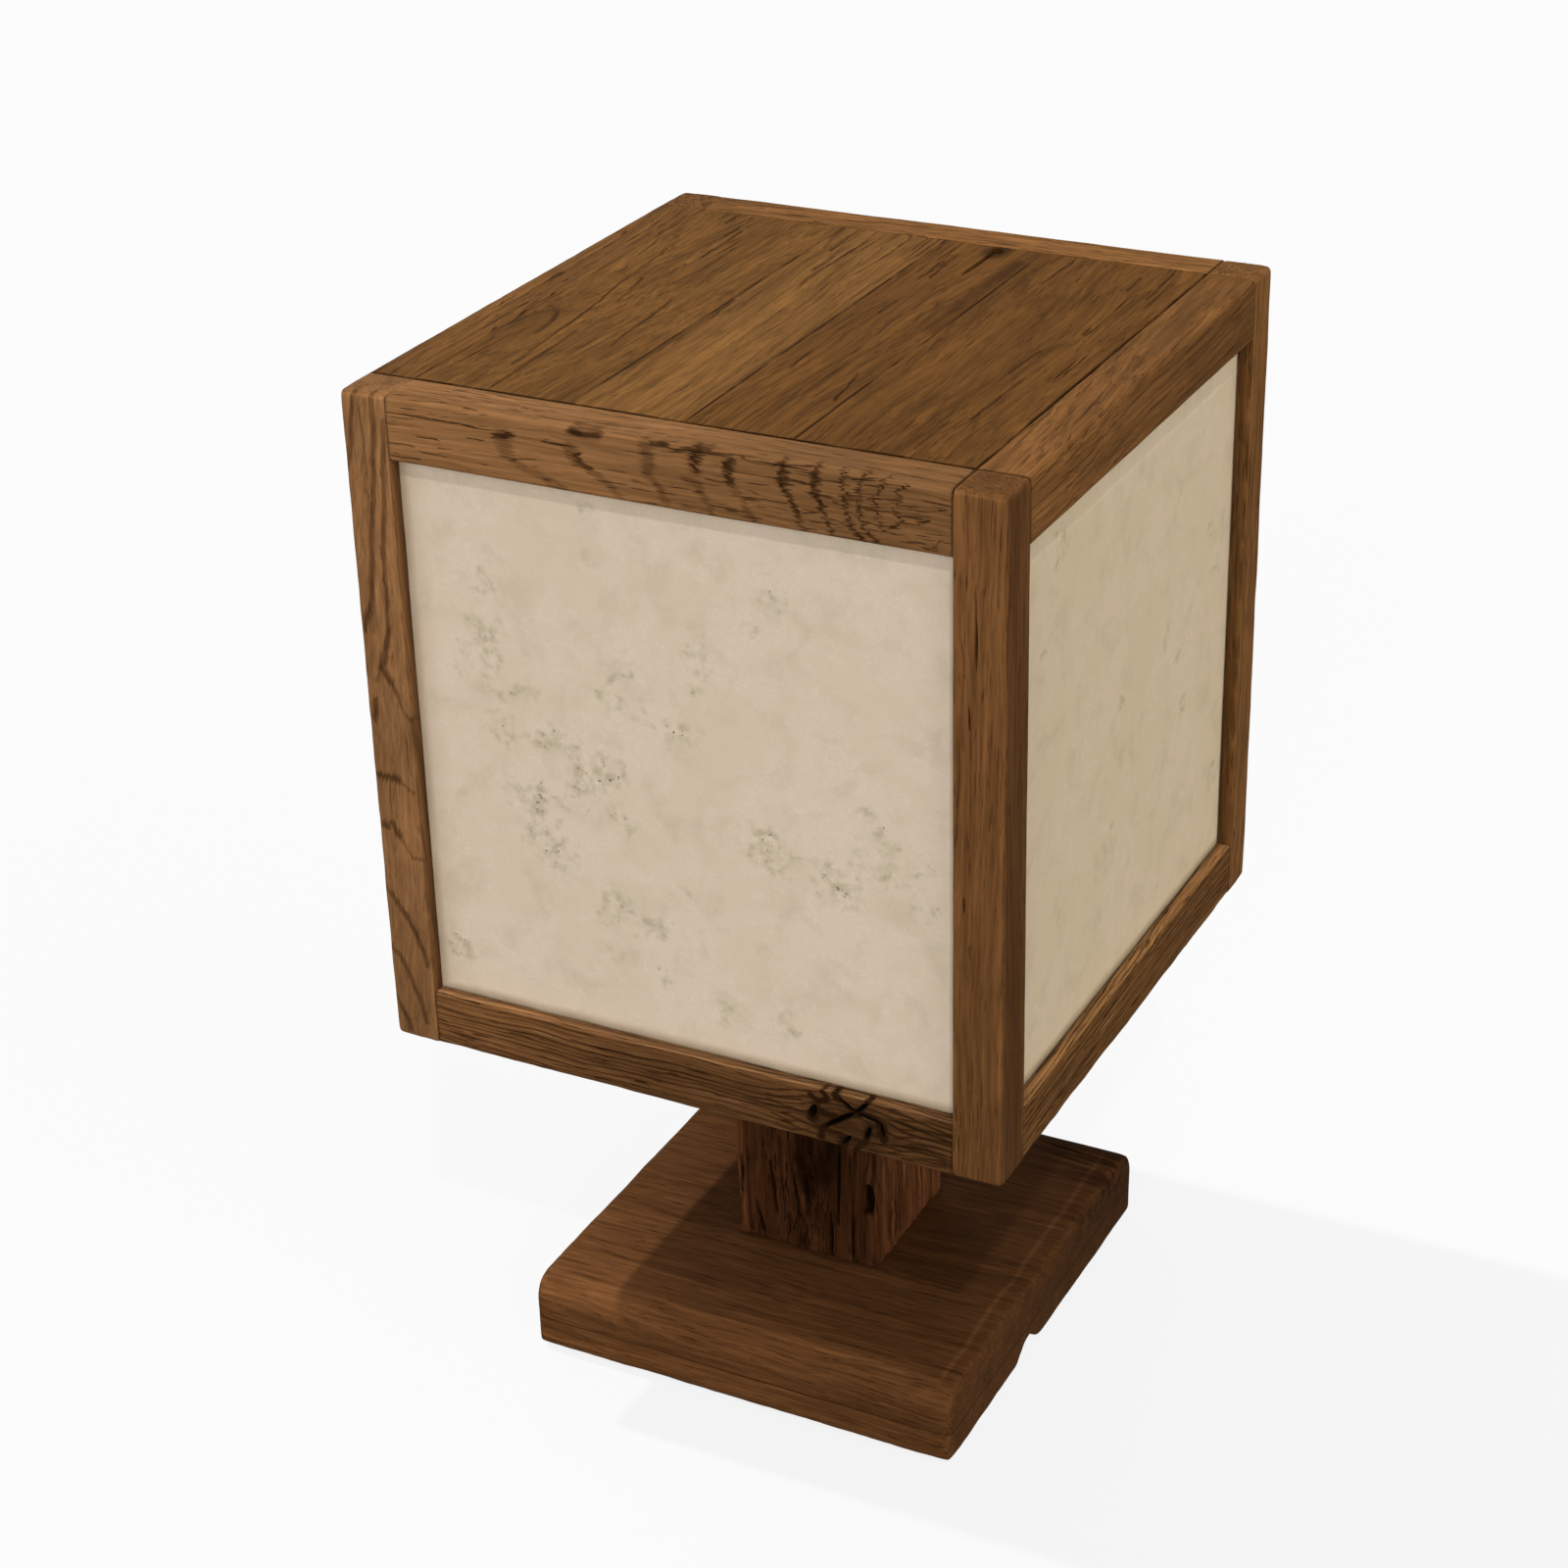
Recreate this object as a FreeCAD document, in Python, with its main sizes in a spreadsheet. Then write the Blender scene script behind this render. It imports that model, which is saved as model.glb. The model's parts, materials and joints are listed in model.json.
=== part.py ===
import FreeCAD, Part
import os
import re

import Sketcher

# A table lamp of reclaimed oak: a square lantern with parchment panels, carried by a short
# post on a slab base. Millimetres, +Z up, the front faces -Y, and the origin is on the table
# under the centre of the base.

SIZES = {
    # Lantern frame
    "lantern_width": 300.0,
    "lantern_depth": 300.0,
    "lantern_height": 311.5,
    "frame_thickness": 23.0,
    "top_rail_height": 29.0,
    "bottom_rail_height": 28.0,
    "corner_round": 2.0,
    "arris_round": 1.5,
    "joint_gap": 0.15,
    # Tenons of the rails in the posts
    "tenon_offset": 4.0,
    "tenon_thickness": 8.0,
    "tenon_wall": 1.0,
    "tenon_shoulder": 4.0,
    # Panels, their rebates and beads
    "rebate_width": 8.0,
    "panel_setback": 7.5,
    "panel_thickness": 1.0,
    "bead_corner_gap": 0.5,
    # Boards of the lid
    "board_thickness": 12.0,
    "tongue_thickness": 4.0,
    "tongue_length": 5.0,
    "tongue_depth": 4.0,
    "first_board": 75.0,
    "second_board": 52.0,
    "third_board": 49.0,
    # Bearer across the open bottom of the lantern
    "bearer_width": 90.0,
    "bearer_thickness": 18.0,
    "bearer_tenon_length": 8.0,
    "bearer_tenon_thickness": 8.0,
    # Pedestal
    "pedestal_side": 78.0,
    "pedestal_height": 147.5,
    "pedestal_round": 2.5,
    "cord_bore": 12.0,
    "nut_recess_diameter": 30.0,
    "nut_recess_depth": 10.0,
    # Base slab, its cord groove and its pads
    "base_width": 220.0,
    "base_depth": 227.0,
    "base_thickness": 39.0,
    "base_round": 14.0,
    "base_arris": 2.0,
    "groove_width": 12.0,
    "groove_height": 9.0,
    "notch_width": 26.0,
    "notch_length": 12.0,
    "notch_offset": 19.0,
    "pad_diameter": 22.0,
    "pad_thickness": 2.0,
    "pad_inset": 26.0,
    # Wood screws
    "screw_diameter": 5.0,
    "screw_head_diameter": 9.5,
    "screw_head_height": 3.0,
    "screw_head_gap": 0.5,
    "screw_point": 6.0,
    "screw_tip_diameter": 1.2,
    "screw_gap": 0.1,
    "base_screw_length": 60.0,
    "base_screw_sink": 14.0,
    "base_screw_spread": 58.0,
    "bearer_screw_length": 45.0,
    "bearer_screw_spread": 54.0,
    # Threaded tube that carries the lampholder
    "tube_diameter": 10.0,
    "tube_bore": 7.0,
    "tube_below": 6.0,
    "tube_inside": 4.0,
    "tube_gap": 0.1,
    "nut_across_flats": 14.0,
    "nut_thickness": 4.0,
    "washer_diameter": 24.0,
    "washer_thickness": 1.5,
    # Lampholder
    "holder_diameter": 43.0,
    "holder_wall": 2.0,
    "holder_foot_diameter": 26.0,
    "holder_floor_thickness": 3.0,
    "holder_cap_height": 16.5,
    "core_diameter": 35.0,
    "core_flange": 3.0,
    "core_height": 14.0,
    "sleeve_height": 37.0,
    "thread_bore": 27.4,
    "thread_wall": 0.6,
    "thread_sleeve_height": 22.0,
    "terminal_spread": 22.0,
    "terminal_diameter": 3.0,
    "terminal_head_diameter": 5.6,
    "terminal_head_height": 1.8,
    "terminal_length": 7.0,
    # Sprung centre contact
    "contact_diameter": 9.0,
    "contact_thickness": 1.5,
    "contact_stem": 4.0,
    "contact_stem_inset": 1.0,
    "contact_running_gap": 0.05,
    "contact_proud": 1.0,
    "contact_gap": 0.2,
    "spring_pocket_diameter": 10.0,
    "spring_pocket_depth": 8.0,
    "spring_radius": 3.2,
    "spring_wire": 0.6,
    "spring_turns": 5.0,
    "spring_end_gap": 0.2,
    # Bulb
    "bulb_diameter": 60.0,
    "bulb_length": 105.0,
    "bulb_neck_diameter": 28.0,
    "bulb_flare": 35.0,
    "glass_wall": 0.8,
    "cap_thread_diameter": 26.2,
    "cap_thread_depth": 0.9,
    "cap_thread_pitch": 3.63,
    "cap_wall": 0.5,
    "collar_height": 4.5,
    "collar_rise": 1.5,
    "insulator_height": 6.2,
    "insulator_lip": 1.0,
    "foot_diameter": 10.8,
    "foot_height": 2.8,
    "stem_diameter": 8.0,
    "stem_height": 30.0,
    "stem_head_diameter": 22.0,
    "stem_head_thickness": 1.5,
    "filament_diameter": 1.6,
    "filament_length": 26.0,
    "filament_circle": 17.0,
}

THREAD_TURNS = 5
OVERCUT = "1"

# Levels and sizes that follow from the driving ones.
DERIVED = {
    "base_top": "pad_thickness + base_thickness",
    "lantern_floor": "base_top + pedestal_height",
    "lantern_top": "lantern_floor + lantern_height",
    "top_sight": "lantern_top - top_rail_height",
    "bottom_sight": "lantern_floor + bottom_rail_height",
    "rebate_floor": "bottom_sight - rebate_width",
    "rebate_ceiling": "top_sight + rebate_width",
    "tenon_length": "frame_thickness - tenon_offset - tenon_thickness - tenon_wall",
    "top_tenon_low": "rebate_ceiling + tenon_wall",
    "top_tenon_height": "lantern_top - tenon_shoulder - top_tenon_low",
    "bottom_tenon_low": "lantern_floor + tenon_shoulder",
    "bottom_tenon_height": "rebate_floor - tenon_wall - bottom_tenon_low",
    "panel_inner": "panel_setback + panel_thickness + 2 * joint_gap",
    "bead_width": "rebate_width - joint_gap",
    "bead_depth": "frame_thickness - rebate_width - panel_inner - bead_corner_gap",
    "tongue_low": "lantern_top - tongue_depth - tongue_thickness",
    "lid_half_width": "lantern_width / 2 - frame_thickness",
    "lid_half_depth": "lantern_depth / 2 - frame_thickness - joint_gap",
    "bearer_top": "lantern_floor + bearer_thickness",
    "bearer_tenon_low": "lantern_floor + (bearer_thickness - bearer_tenon_thickness) / 2",
    "bearer_half_length": "lantern_width / 2 - frame_thickness - joint_gap",
    "screw_hole": "screw_diameter + 2 * screw_gap",
    "base_screw_seat": "pad_thickness + base_screw_sink",
    "tube_hole": "tube_diameter + 2 * tube_gap",
    "holder_floor": "bearer_top + washer_thickness",
    "tube_top": "holder_floor + holder_floor_thickness + tube_inside",
    "cap_rim": "holder_floor + holder_cap_height",
    "core_top": "cap_rim + core_height",
    "contact_top": "core_top + contact_proud",
    "pocket_floor": "core_top - spring_pocket_depth",
    "spring_floor": "pocket_floor + spring_end_gap + spring_wire / 2",
    "spring_height": "contact_top - contact_thickness - spring_end_gap - spring_wire / 2 - spring_floor",
    "bulb_foot": "contact_top + contact_gap",
    "cap_floor": "bulb_foot + insulator_height",
    "collar_floor": f"cap_floor + {THREAD_TURNS} * cap_thread_pitch + collar_rise",
    "collar_inner": "bulb_neck_diameter / 2 + joint_gap",
    "thread_root": "cap_thread_diameter / 2 - cap_thread_depth",
    "glass_floor": "collar_floor + cap_wall + joint_gap",
    "bulb_middle": "bulb_foot + bulb_length - bulb_diameter / 2",
    "stem_floor": "glass_floor + glass_wall",
    "stem_top": "stem_floor + stem_height",
}

# Each side of the lantern: its turn about Z, the size along it and the size across it.
SIDES = {
    "front": (0, "lantern_width", "lantern_depth"),
    "right": (90, "lantern_depth", "lantern_width"),
    "back": (180, "lantern_width", "lantern_depth"),
    "left": (270, "lantern_depth", "lantern_width"),
}

# The post at the left end of each side, seen from outside.
POSTS = {
    "front": "post_front_left",
    "right": "post_front_right",
    "back": "post_back_right",
    "left": "post_back_left",
}

doc = FreeCAD.newDocument("table_lamp")
sheet = doc.addObject("Spreadsheet::Sheet", "Sizes")
pieces = []


def fill_sheet():
    for row, (name, size) in enumerate(SIZES.items(), start=1):
        sheet.set(f"A{row}", name)
        sheet.set(f"B{row}", str(size))
        sheet.setAlias(f"B{row}", name)
    doc.recompute()


def formula(text):
    """Spell a text of size names as an expression on the sheet's cells."""
    def cell(match):
        word = match.group(0)
        if word in DERIVED:
            return "(" + formula(DERIVED[word]) + ")"
        if word in SIZES:
            return "Sizes." + word
        return word
    return re.sub(r"[a-z_]+", cell, text)


def number(text):
    return float(sheet.evalExpression(formula(text)))


def bind(item, **texts):
    for name, text in texts.items():
        item.setExpression(name, formula(text))


def place(item, corner):
    for axis, text in zip("xyz", corner):
        item.setExpression(f"Placement.Base.{axis}", formula(text))


# Carpentry on a body: stock, cuts, tenons, holes and eased edges.

def new_body(label, turn=0):
    body = doc.addObject("PartDesign::Body", label)
    body.Label = label
    body.Placement.Rotation = FreeCAD.Rotation(FreeCAD.Vector(0, 0, 1), turn)
    pieces.append(body)
    return body


def box_feature(body, kind, name, corner, size):
    feature = body.newObject(kind, name)
    bind(feature, Length=size[0], Width=size[1], Height=size[2])
    place(feature, corner)
    return feature


def add_box(body, name, corner, size):
    return box_feature(body, "PartDesign::AdditiveBox", name, corner, size)


def cut_box(body, name, corner, size):
    return box_feature(body, "PartDesign::SubtractiveBox", name, corner, size)


def drill(body, name, corner, diameter, depth):
    """Bore a round hole upwards from a point."""
    hole = body.newObject("PartDesign::SubtractiveCylinder", name)
    bind(hole, Radius=f"({diameter}) / 2", Height=depth)
    place(hole, corner)
    return hole


def edges_on(shape, faces):
    """Name the straight edges that lie on all the given sides of a shape's box, such as -x and +z."""
    box = shape.BoundBox
    ends = {
        "-x": (0, box.XMin), "+x": (0, box.XMax),
        "-y": (1, box.YMin), "+y": (1, box.YMax),
        "-z": (2, box.ZMin), "+z": (2, box.ZMax),
    }
    found = []
    for index, edge in enumerate(shape.Edges, start=1):
        middle = edge.CenterOfMass
        if all(abs(middle[axis] - level) < 1e-6 for axis, level in (ends[face] for face in faces)):
            found.append(f"Edge{index}")
    return found


def ease(body, name, base, groups, radius):
    """Round the edges of a feature that lie on the given pairs of sides."""
    doc.recompute()
    chosen = []
    for faces in groups:
        chosen += [edge for edge in edges_on(base.Shape, faces) if edge not in chosen]
    fillet = body.newObject("PartDesign::Fillet", name)
    fillet.Base = (base, chosen)
    bind(fillet, Radius=radius)
    return fillet


def outline(body, name, plane, points):
    """A closed sketch of straight lines through points given as pairs of size texts."""
    sketch = body.newObject("Sketcher::SketchObject", name)
    support = [item for item in body.Origin.OriginFeatures if item.Role == plane][0]
    sketch.AttachmentSupport = [(support, "")]
    sketch.MapMode = "FlatFace"
    corners = [FreeCAD.Vector(number(across), number(up), 0) for across, up in points]
    count = len(points)
    for index in range(count):
        sketch.addGeometry(Part.LineSegment(corners[index], corners[(index + 1) % count]))
    for index, (across, up) in enumerate(points):
        sketch.addConstraint(Sketcher.Constraint("Coincident", index, 2, (index + 1) % count, 1))
        for kind, text, axis, start in (
            ("DistanceX", across, -2, corners[index].x),
            ("DistanceY", up, -1, corners[index].y),
        ):
            if text == "0":
                sketch.addConstraint(Sketcher.Constraint("PointOnObject", index, 1, axis))
                continue
            rule = sketch.addConstraint(Sketcher.Constraint(kind, -1, 1, index, 1, start))
            sketch.setExpression(f"Constraints[{rule}]", formula(text))
    return sketch


def turned(label, points):
    """A round piece: an outline of radius and height turned about Z."""
    body = new_body(label)
    sketch = outline(body, "Profile", "XZ_Plane", points)
    doc.recompute()
    turn = body.newObject("PartDesign::Revolution", "Turn")
    turn.Profile = sketch
    axis = [item for item in body.Origin.OriginFeatures if item.Role == "Z_Axis"][0]
    turn.ReferenceAxis = (axis, [""])
    turn.Angle = 360
    return body


# Solids that are joined from primitives.

def cylinder(name, corner, radius, height):
    item = doc.addObject("Part::Cylinder", name)
    bind(item, Radius=radius, Height=height)
    place(item, corner)
    return item


def cone(name, corner, low_radius, high_radius, height):
    item = doc.addObject("Part::Cone", name)
    bind(item, Radius1=low_radius, Radius2=high_radius, Height=height)
    place(item, corner)
    return item


def ball(name, corner, radius):
    item = doc.addObject("Part::Sphere", name)
    bind(item, Radius=radius)
    place(item, corner)
    return item


def fused(name, items):
    item = doc.addObject("Part::MultiFuse", name)
    item.Shapes = items
    return item


def group(label, items):
    """A node of separate, identical solids."""
    item = doc.addObject("Part::Compound", label)
    item.Label = label
    item.Links = items
    pieces.append(item)
    return item


def screw(name, spot, seat, way, diameter, head_diameter, head_height, length):
    """A round-headed screw: way is 1 where it points up from its seat and -1 where it points down."""
    x, y = spot
    shank_length = f"({length}) - screw_point"
    if way > 0:
        head_low, shank_low, point_low = f"{seat} - {head_height}", seat, f"{seat} + {shank_length}"
        low_radius, high_radius = f"{diameter} / 2", "screw_tip_diameter / 2"
    else:
        head_low, shank_low, point_low = seat, f"{seat} - ({shank_length})", f"{seat} - ({length})"
        low_radius, high_radius = "screw_tip_diameter / 2", f"{diameter} / 2"
    return fused(name, [
        cylinder(name + "_head", (x, y, head_low), f"{head_diameter} / 2", head_height),
        cylinder(name + "_shank", (x, y, shank_low), f"{diameter} / 2", shank_length),
        cone(name + "_point", (x, y, point_low), low_radius, high_radius, "screw_point"),
    ])


def four_spots(spread):
    """The corners of a square pattern, by their spacing."""
    return [(f"{sx} * {spread} / 2", f"{sy} * {spread} / 2") for sx in (-1, 1) for sy in (-1, 1)]


# Lantern

def make_post(side):
    turn, along, across = SIDES[side]
    body = new_body(POSTS[side], turn)
    corner = (f"-{along} / 2", f"-{across} / 2")
    stock = add_box(
        body, "Stock", (*corner, "lantern_floor"),
        ("frame_thickness", "frame_thickness", "lantern_height"),
    )
    outer = [("-x", "-y"), ("-x", "+z"), ("-y", "+z"), ("-x", "-z"), ("-y", "-z")]
    ease(body, "Outer_round", stock, outer, "corner_round")
    tenons = {
        "top": ("top_tenon_low", "top_tenon_height"),
        "bottom": ("bottom_tenon_low", "bottom_tenon_height"),
    }
    # The same cuts serve the side on the right of the post and, with x and y exchanged, the one on its left.
    for swap in (False, True):
        def turned_round(first, second, third):
            return (second, first, third) if swap else (first, second, third)
        run, depth = (corner[1], corner[0]) if swap else corner
        tag = "Left" if swap else "Right"
        cut_box(
            body, f"{tag}_rebate",
            turned_round(
                f"{run} + frame_thickness - rebate_width", f"{depth} + panel_setback", "rebate_floor"),
            turned_round(
                f"rebate_width + {OVERCUT}", f"frame_thickness - panel_setback + {OVERCUT}",
                "rebate_ceiling - rebate_floor"),
        )
        for level, (low, height) in tenons.items():
            cut_box(
                body, f"{tag}_{level}_mortise",
                turned_round(
                    f"{run} + frame_thickness - tenon_length - joint_gap",
                    f"{depth} + tenon_offset - joint_gap", f"{low} - joint_gap"),
                turned_round(
                    f"tenon_length + joint_gap + {OVERCUT}", "tenon_thickness + 2 * joint_gap",
                    f"{height} + 2 * joint_gap"),
            )


def make_rail(side, level):
    turn, along, across = SIDES[side]
    body = new_body(f"{level}_rail_{side}", turn)
    is_top = level == "top"
    half = f"({along} / 2 - frame_thickness - joint_gap)"
    outer = f"-{across} / 2"
    inner = f"{outer} + frame_thickness"
    low, height = ("top_sight", "top_rail_height") if is_top else ("lantern_floor", "bottom_rail_height")
    stock = add_box(body, "Stock", (f"-{half}", outer, low), (f"2 * {half}", "frame_thickness", height))
    free_edge, sight_edge = (("-y", "+z"), ("-y", "-z")) if is_top else (("-y", "-z"), ("-y", "+z"))
    rounded = ease(body, "Outer_round", stock, [free_edge], "corner_round")
    ease(body, "Sight_round", rounded, [sight_edge], "arris_round")
    rebate_low = f"top_sight - {OVERCUT}" if is_top else "rebate_floor"
    cut_box(
        body, "Rebate", (f"-{half} - {OVERCUT}", f"{outer} + panel_setback", rebate_low),
        (f"2 * {half} + 2 * {OVERCUT}", f"frame_thickness - panel_setback + {OVERCUT}",
         f"rebate_width + {OVERCUT}"),
    )
    if is_top:
        cut_box(
            body, "Lid_groove",
            (f"-{half} - {OVERCUT}", f"{inner} - tongue_length - joint_gap", "tongue_low - joint_gap"),
            (f"2 * {half} + 2 * {OVERCUT}", f"tongue_length + joint_gap + {OVERCUT}",
             "tongue_thickness + 2 * joint_gap"),
        )
    elif side in ("left", "right"):
        cut_box(
            body, "Bearer_mortise",
            ("tenon_shoulder - bearer_width / 2 - joint_gap",
             f"{inner} - bearer_tenon_length - joint_gap", "bearer_tenon_low - joint_gap"),
            ("bearer_width - 2 * tenon_shoulder + 2 * joint_gap",
             f"bearer_tenon_length + joint_gap + {OVERCUT}", "bearer_tenon_thickness + 2 * joint_gap"),
        )
    for tag, start in (("Left", f"-{half} - tenon_length"), ("Right", half)):
        add_box(
            body, f"{tag}_tenon", (start, f"{outer} + tenon_offset", f"{level}_tenon_low"),
            ("tenon_length", "tenon_thickness", f"{level}_tenon_height"),
        )


def make_panel(side):
    turn, along, across = SIDES[side]
    body = new_body(f"panel_{side}", turn)
    half = f"({along} / 2 - frame_thickness + rebate_width - joint_gap)"
    add_box(
        body, "Sheet",
        (f"-{half}", f"-{across} / 2 + panel_setback + joint_gap", "rebate_floor + joint_gap"),
        (f"2 * {half}", "panel_thickness", "rebate_ceiling - rebate_floor - 2 * joint_gap"),
    )


def make_beads(side):
    """Four strips that hold a panel in its rebate: full length above and below, shorter at the ends."""
    turn, along, across = SIDES[side]
    half = f"({along} / 2 - frame_thickness + rebate_width - joint_gap)"
    back = f"-{across} / 2 + panel_inner"
    low = "rebate_floor + joint_gap"
    high = "rebate_ceiling - joint_gap - bead_width"
    upright_low = f"{low} + bead_width + joint_gap"
    upright_length = f"({high}) - ({upright_low}) - joint_gap"
    strips = {
        "bottom": ((f"-{half}", back, low), (f"2 * {half}", "bead_depth", "bead_width")),
        "top": ((f"-{half}", back, high), (f"2 * {half}", "bead_depth", "bead_width")),
        "left": ((f"-{half}", back, upright_low), ("bead_width", "bead_depth", upright_length)),
        "right": ((f"{half} - bead_width", back, upright_low), ("bead_width", "bead_depth", upright_length)),
    }
    for place_name, (corner, size) in strips.items():
        add_box(new_body(f"bead_{side}_{place_name}", turn), "Strip", corner, size)


def make_lid_boards():
    """Boards from left to right: each has a tongue on its left, and a groove for the next board's."""
    seams = ["-lid_half_width"]
    for width in ("first_board", "second_board", "third_board"):
        seams.append(f"{seams[-1]} + {width}")
    seams.append("lid_half_width - joint_gap")
    last = len(seams) - 2
    for index in range(last + 1):
        left, right = f"({seams[index]} + joint_gap)", f"({seams[index + 1]})"
        width = f"{right} - {left}"
        body = new_body(f"lid_board_{index + 1}")
        add_box(
            body, "Stock", (left, "-lid_half_depth", "lantern_top - board_thickness"),
            (width, "2 * lid_half_depth", "board_thickness"),
        )
        side_tongue = ("tongue_length", "2 * lid_half_depth", "tongue_thickness")
        add_box(
            body, "Left_tongue", (f"{left} - tongue_length", "-lid_half_depth", "tongue_low"), side_tongue,
        )
        if index == last:
            add_box(body, "Right_tongue", (right, "-lid_half_depth", "tongue_low"), side_tongue)
        else:
            cut_box(
                body, "Right_groove",
                (f"{right} - tongue_length", "-lid_half_depth", "tongue_low - joint_gap"),
                (f"tongue_length + {OVERCUT}", "2 * lid_half_depth", "tongue_thickness + 2 * joint_gap"),
            )
        for tag, start in (("Front", "-lid_half_depth - tongue_length"), ("Back", "lid_half_depth")):
            add_box(
                body, f"{tag}_tongue", (left, start, "tongue_low"),
                (width, "tongue_length", "tongue_thickness"),
            )


def make_bearer():
    body = new_body("bearer")
    add_box(
        body, "Stock", ("-bearer_half_length", "-bearer_width / 2", "lantern_floor"),
        ("2 * bearer_half_length", "bearer_width", "bearer_thickness"),
    )
    starts = {"Left": "-bearer_half_length - bearer_tenon_length", "Right": "bearer_half_length"}
    for tag, start in starts.items():
        add_box(
            body, f"{tag}_tenon", (start, "tenon_shoulder - bearer_width / 2", "bearer_tenon_low"),
            ("bearer_tenon_length", "bearer_width - 2 * tenon_shoulder", "bearer_tenon_thickness"),
        )
    drill(body, "Tube_hole", ("0", "0", f"lantern_floor - {OVERCUT}"), "tube_hole",
          f"bearer_thickness + 2 * {OVERCUT}")
    for index, (x, y) in enumerate(four_spots("bearer_screw_spread"), start=1):
        drill(body, f"Screw_hole_{index}", (x, y, f"lantern_floor - {OVERCUT}"), "screw_hole",
              f"bearer_thickness + 2 * {OVERCUT}")


# Pedestal and base

def make_pedestal():
    body = new_body("pedestal")
    stock = add_box(
        body, "Stock", ("-pedestal_side / 2", "-pedestal_side / 2", "base_top"),
        ("pedestal_side", "pedestal_side", "pedestal_height"),
    )
    uprights = [("-x", "-y"), ("+x", "-y"), ("-x", "+y"), ("+x", "+y")]
    ease(body, "Arris_round", stock, uprights, "pedestal_round")
    drill(body, "Cord_bore", ("0", "0", f"base_top - {OVERCUT}"), "cord_bore",
          f"pedestal_height + 2 * {OVERCUT}")
    drill(body, "Nut_recess", ("0", "0", "lantern_floor - nut_recess_depth"), "nut_recess_diameter",
          f"nut_recess_depth + {OVERCUT}")
    for index, (x, y) in enumerate(four_spots("base_screw_spread"), start=1):
        drill(body, f"Base_screw_hole_{index}", (x, y, f"base_top - {OVERCUT}"), "screw_hole",
              f"base_screw_seat + base_screw_length - base_top + 2 * {OVERCUT}")
    bearer_screw_end = "bearer_top - bearer_screw_length"
    for index, (x, y) in enumerate(four_spots("bearer_screw_spread"), start=1):
        drill(body, f"Bearer_screw_hole_{index}", (x, y, f"{bearer_screw_end} - {OVERCUT}"), "screw_hole",
              f"lantern_floor - ({bearer_screw_end}) + 2 * {OVERCUT}")


def make_base():
    """A slab with rounded front and back edges, and a cord groove to a rough notch in its right end."""
    body = new_body("base_slab")
    stock = add_box(
        body, "Stock", ("-base_width / 2", "-base_depth / 2", "pad_thickness"),
        ("base_width", "base_depth", "base_thickness"),
    )
    rounded = ease(body, "Long_round", stock, [("-y", "+z"), ("+y", "+z")], "base_round")
    ends = [("-x",), ("+x",), ("-y", "-z"), ("+y", "-z")]
    ease(body, "Arris_round", rounded, ends, "base_arris")
    drill(body, "Cord_bore", ("0", "0", f"pad_thickness - {OVERCUT}"), "cord_bore",
          f"base_thickness + 2 * {OVERCUT}")
    doc.recompute()
    groove = outline(body, "Groove_plan", "XY_Plane", [
        ("0", "-groove_width / 2"),
        (f"base_width / 2 + {OVERCUT}", "-notch_offset - groove_width / 2"),
        (f"base_width / 2 + {OVERCUT}", "-notch_offset + groove_width / 2"),
        ("0", "groove_width / 2"),
    ])
    pocket = body.newObject("PartDesign::Pocket", "Groove")
    pocket.Profile = groove
    pocket.Reversed = True
    bind(pocket, Length="pad_thickness + groove_height")
    doc.recompute()
    notch = outline(body, "Notch_section", "YZ_Plane", [
        ("-notch_offset - notch_width / 2", "pad_thickness / 2"),
        ("-notch_offset - notch_width / 2", "pad_thickness + groove_height / 4"),
        ("-notch_offset - notch_width / 8", "pad_thickness + groove_height"),
        ("-notch_offset + notch_width / 8", "pad_thickness + groove_height"),
        ("-notch_offset + notch_width / 2", "pad_thickness / 2"),
    ])
    bind(notch, **{"AttachmentOffset.Base.z": "base_width / 2 - notch_length"})
    mouth = body.newObject("PartDesign::Pocket", "Notch")
    mouth.Profile = notch
    mouth.Reversed = True
    bind(mouth, Length=f"notch_length + {OVERCUT}")
    for index, (x, y) in enumerate(four_spots("base_screw_spread"), start=1):
        drill(body, f"Head_sink_{index}", (x, y, f"pad_thickness - {OVERCUT}"),
              "screw_head_diameter + 2 * screw_head_gap", f"base_screw_sink + {OVERCUT}")
        drill(body, f"Screw_hole_{index}", (x, y, f"base_screw_seat - {OVERCUT}"), "screw_hole",
              f"base_top - base_screw_seat + 2 * {OVERCUT}")


def make_pads():
    spots = [
        (f"{sx} * (base_width / 2 - pad_inset)", f"{sy} * (base_depth / 2 - pad_inset)")
        for sx in (-1, 1) for sy in (-1, 1)
    ]
    group("felt_pads", [
        cylinder(f"Pad_{index}", (x, y, "0"), "pad_diameter / 2", "pad_thickness")
        for index, (x, y) in enumerate(spots, start=1)
    ])


def make_wood_screws():
    sizes = ("screw_diameter", "screw_head_diameter", "screw_head_height")
    group("base_screws", [
        screw(f"Base_screw_{index}", spot, "base_screw_seat", 1, *sizes, "base_screw_length")
        for index, spot in enumerate(four_spots("base_screw_spread"), start=1)
    ])
    group("bearer_screws", [
        screw(f"Bearer_screw_{index}", spot, "bearer_top", -1, *sizes, "bearer_screw_length")
        for index, spot in enumerate(four_spots("bearer_screw_spread"), start=1)
    ])


# Lampholder

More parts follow.
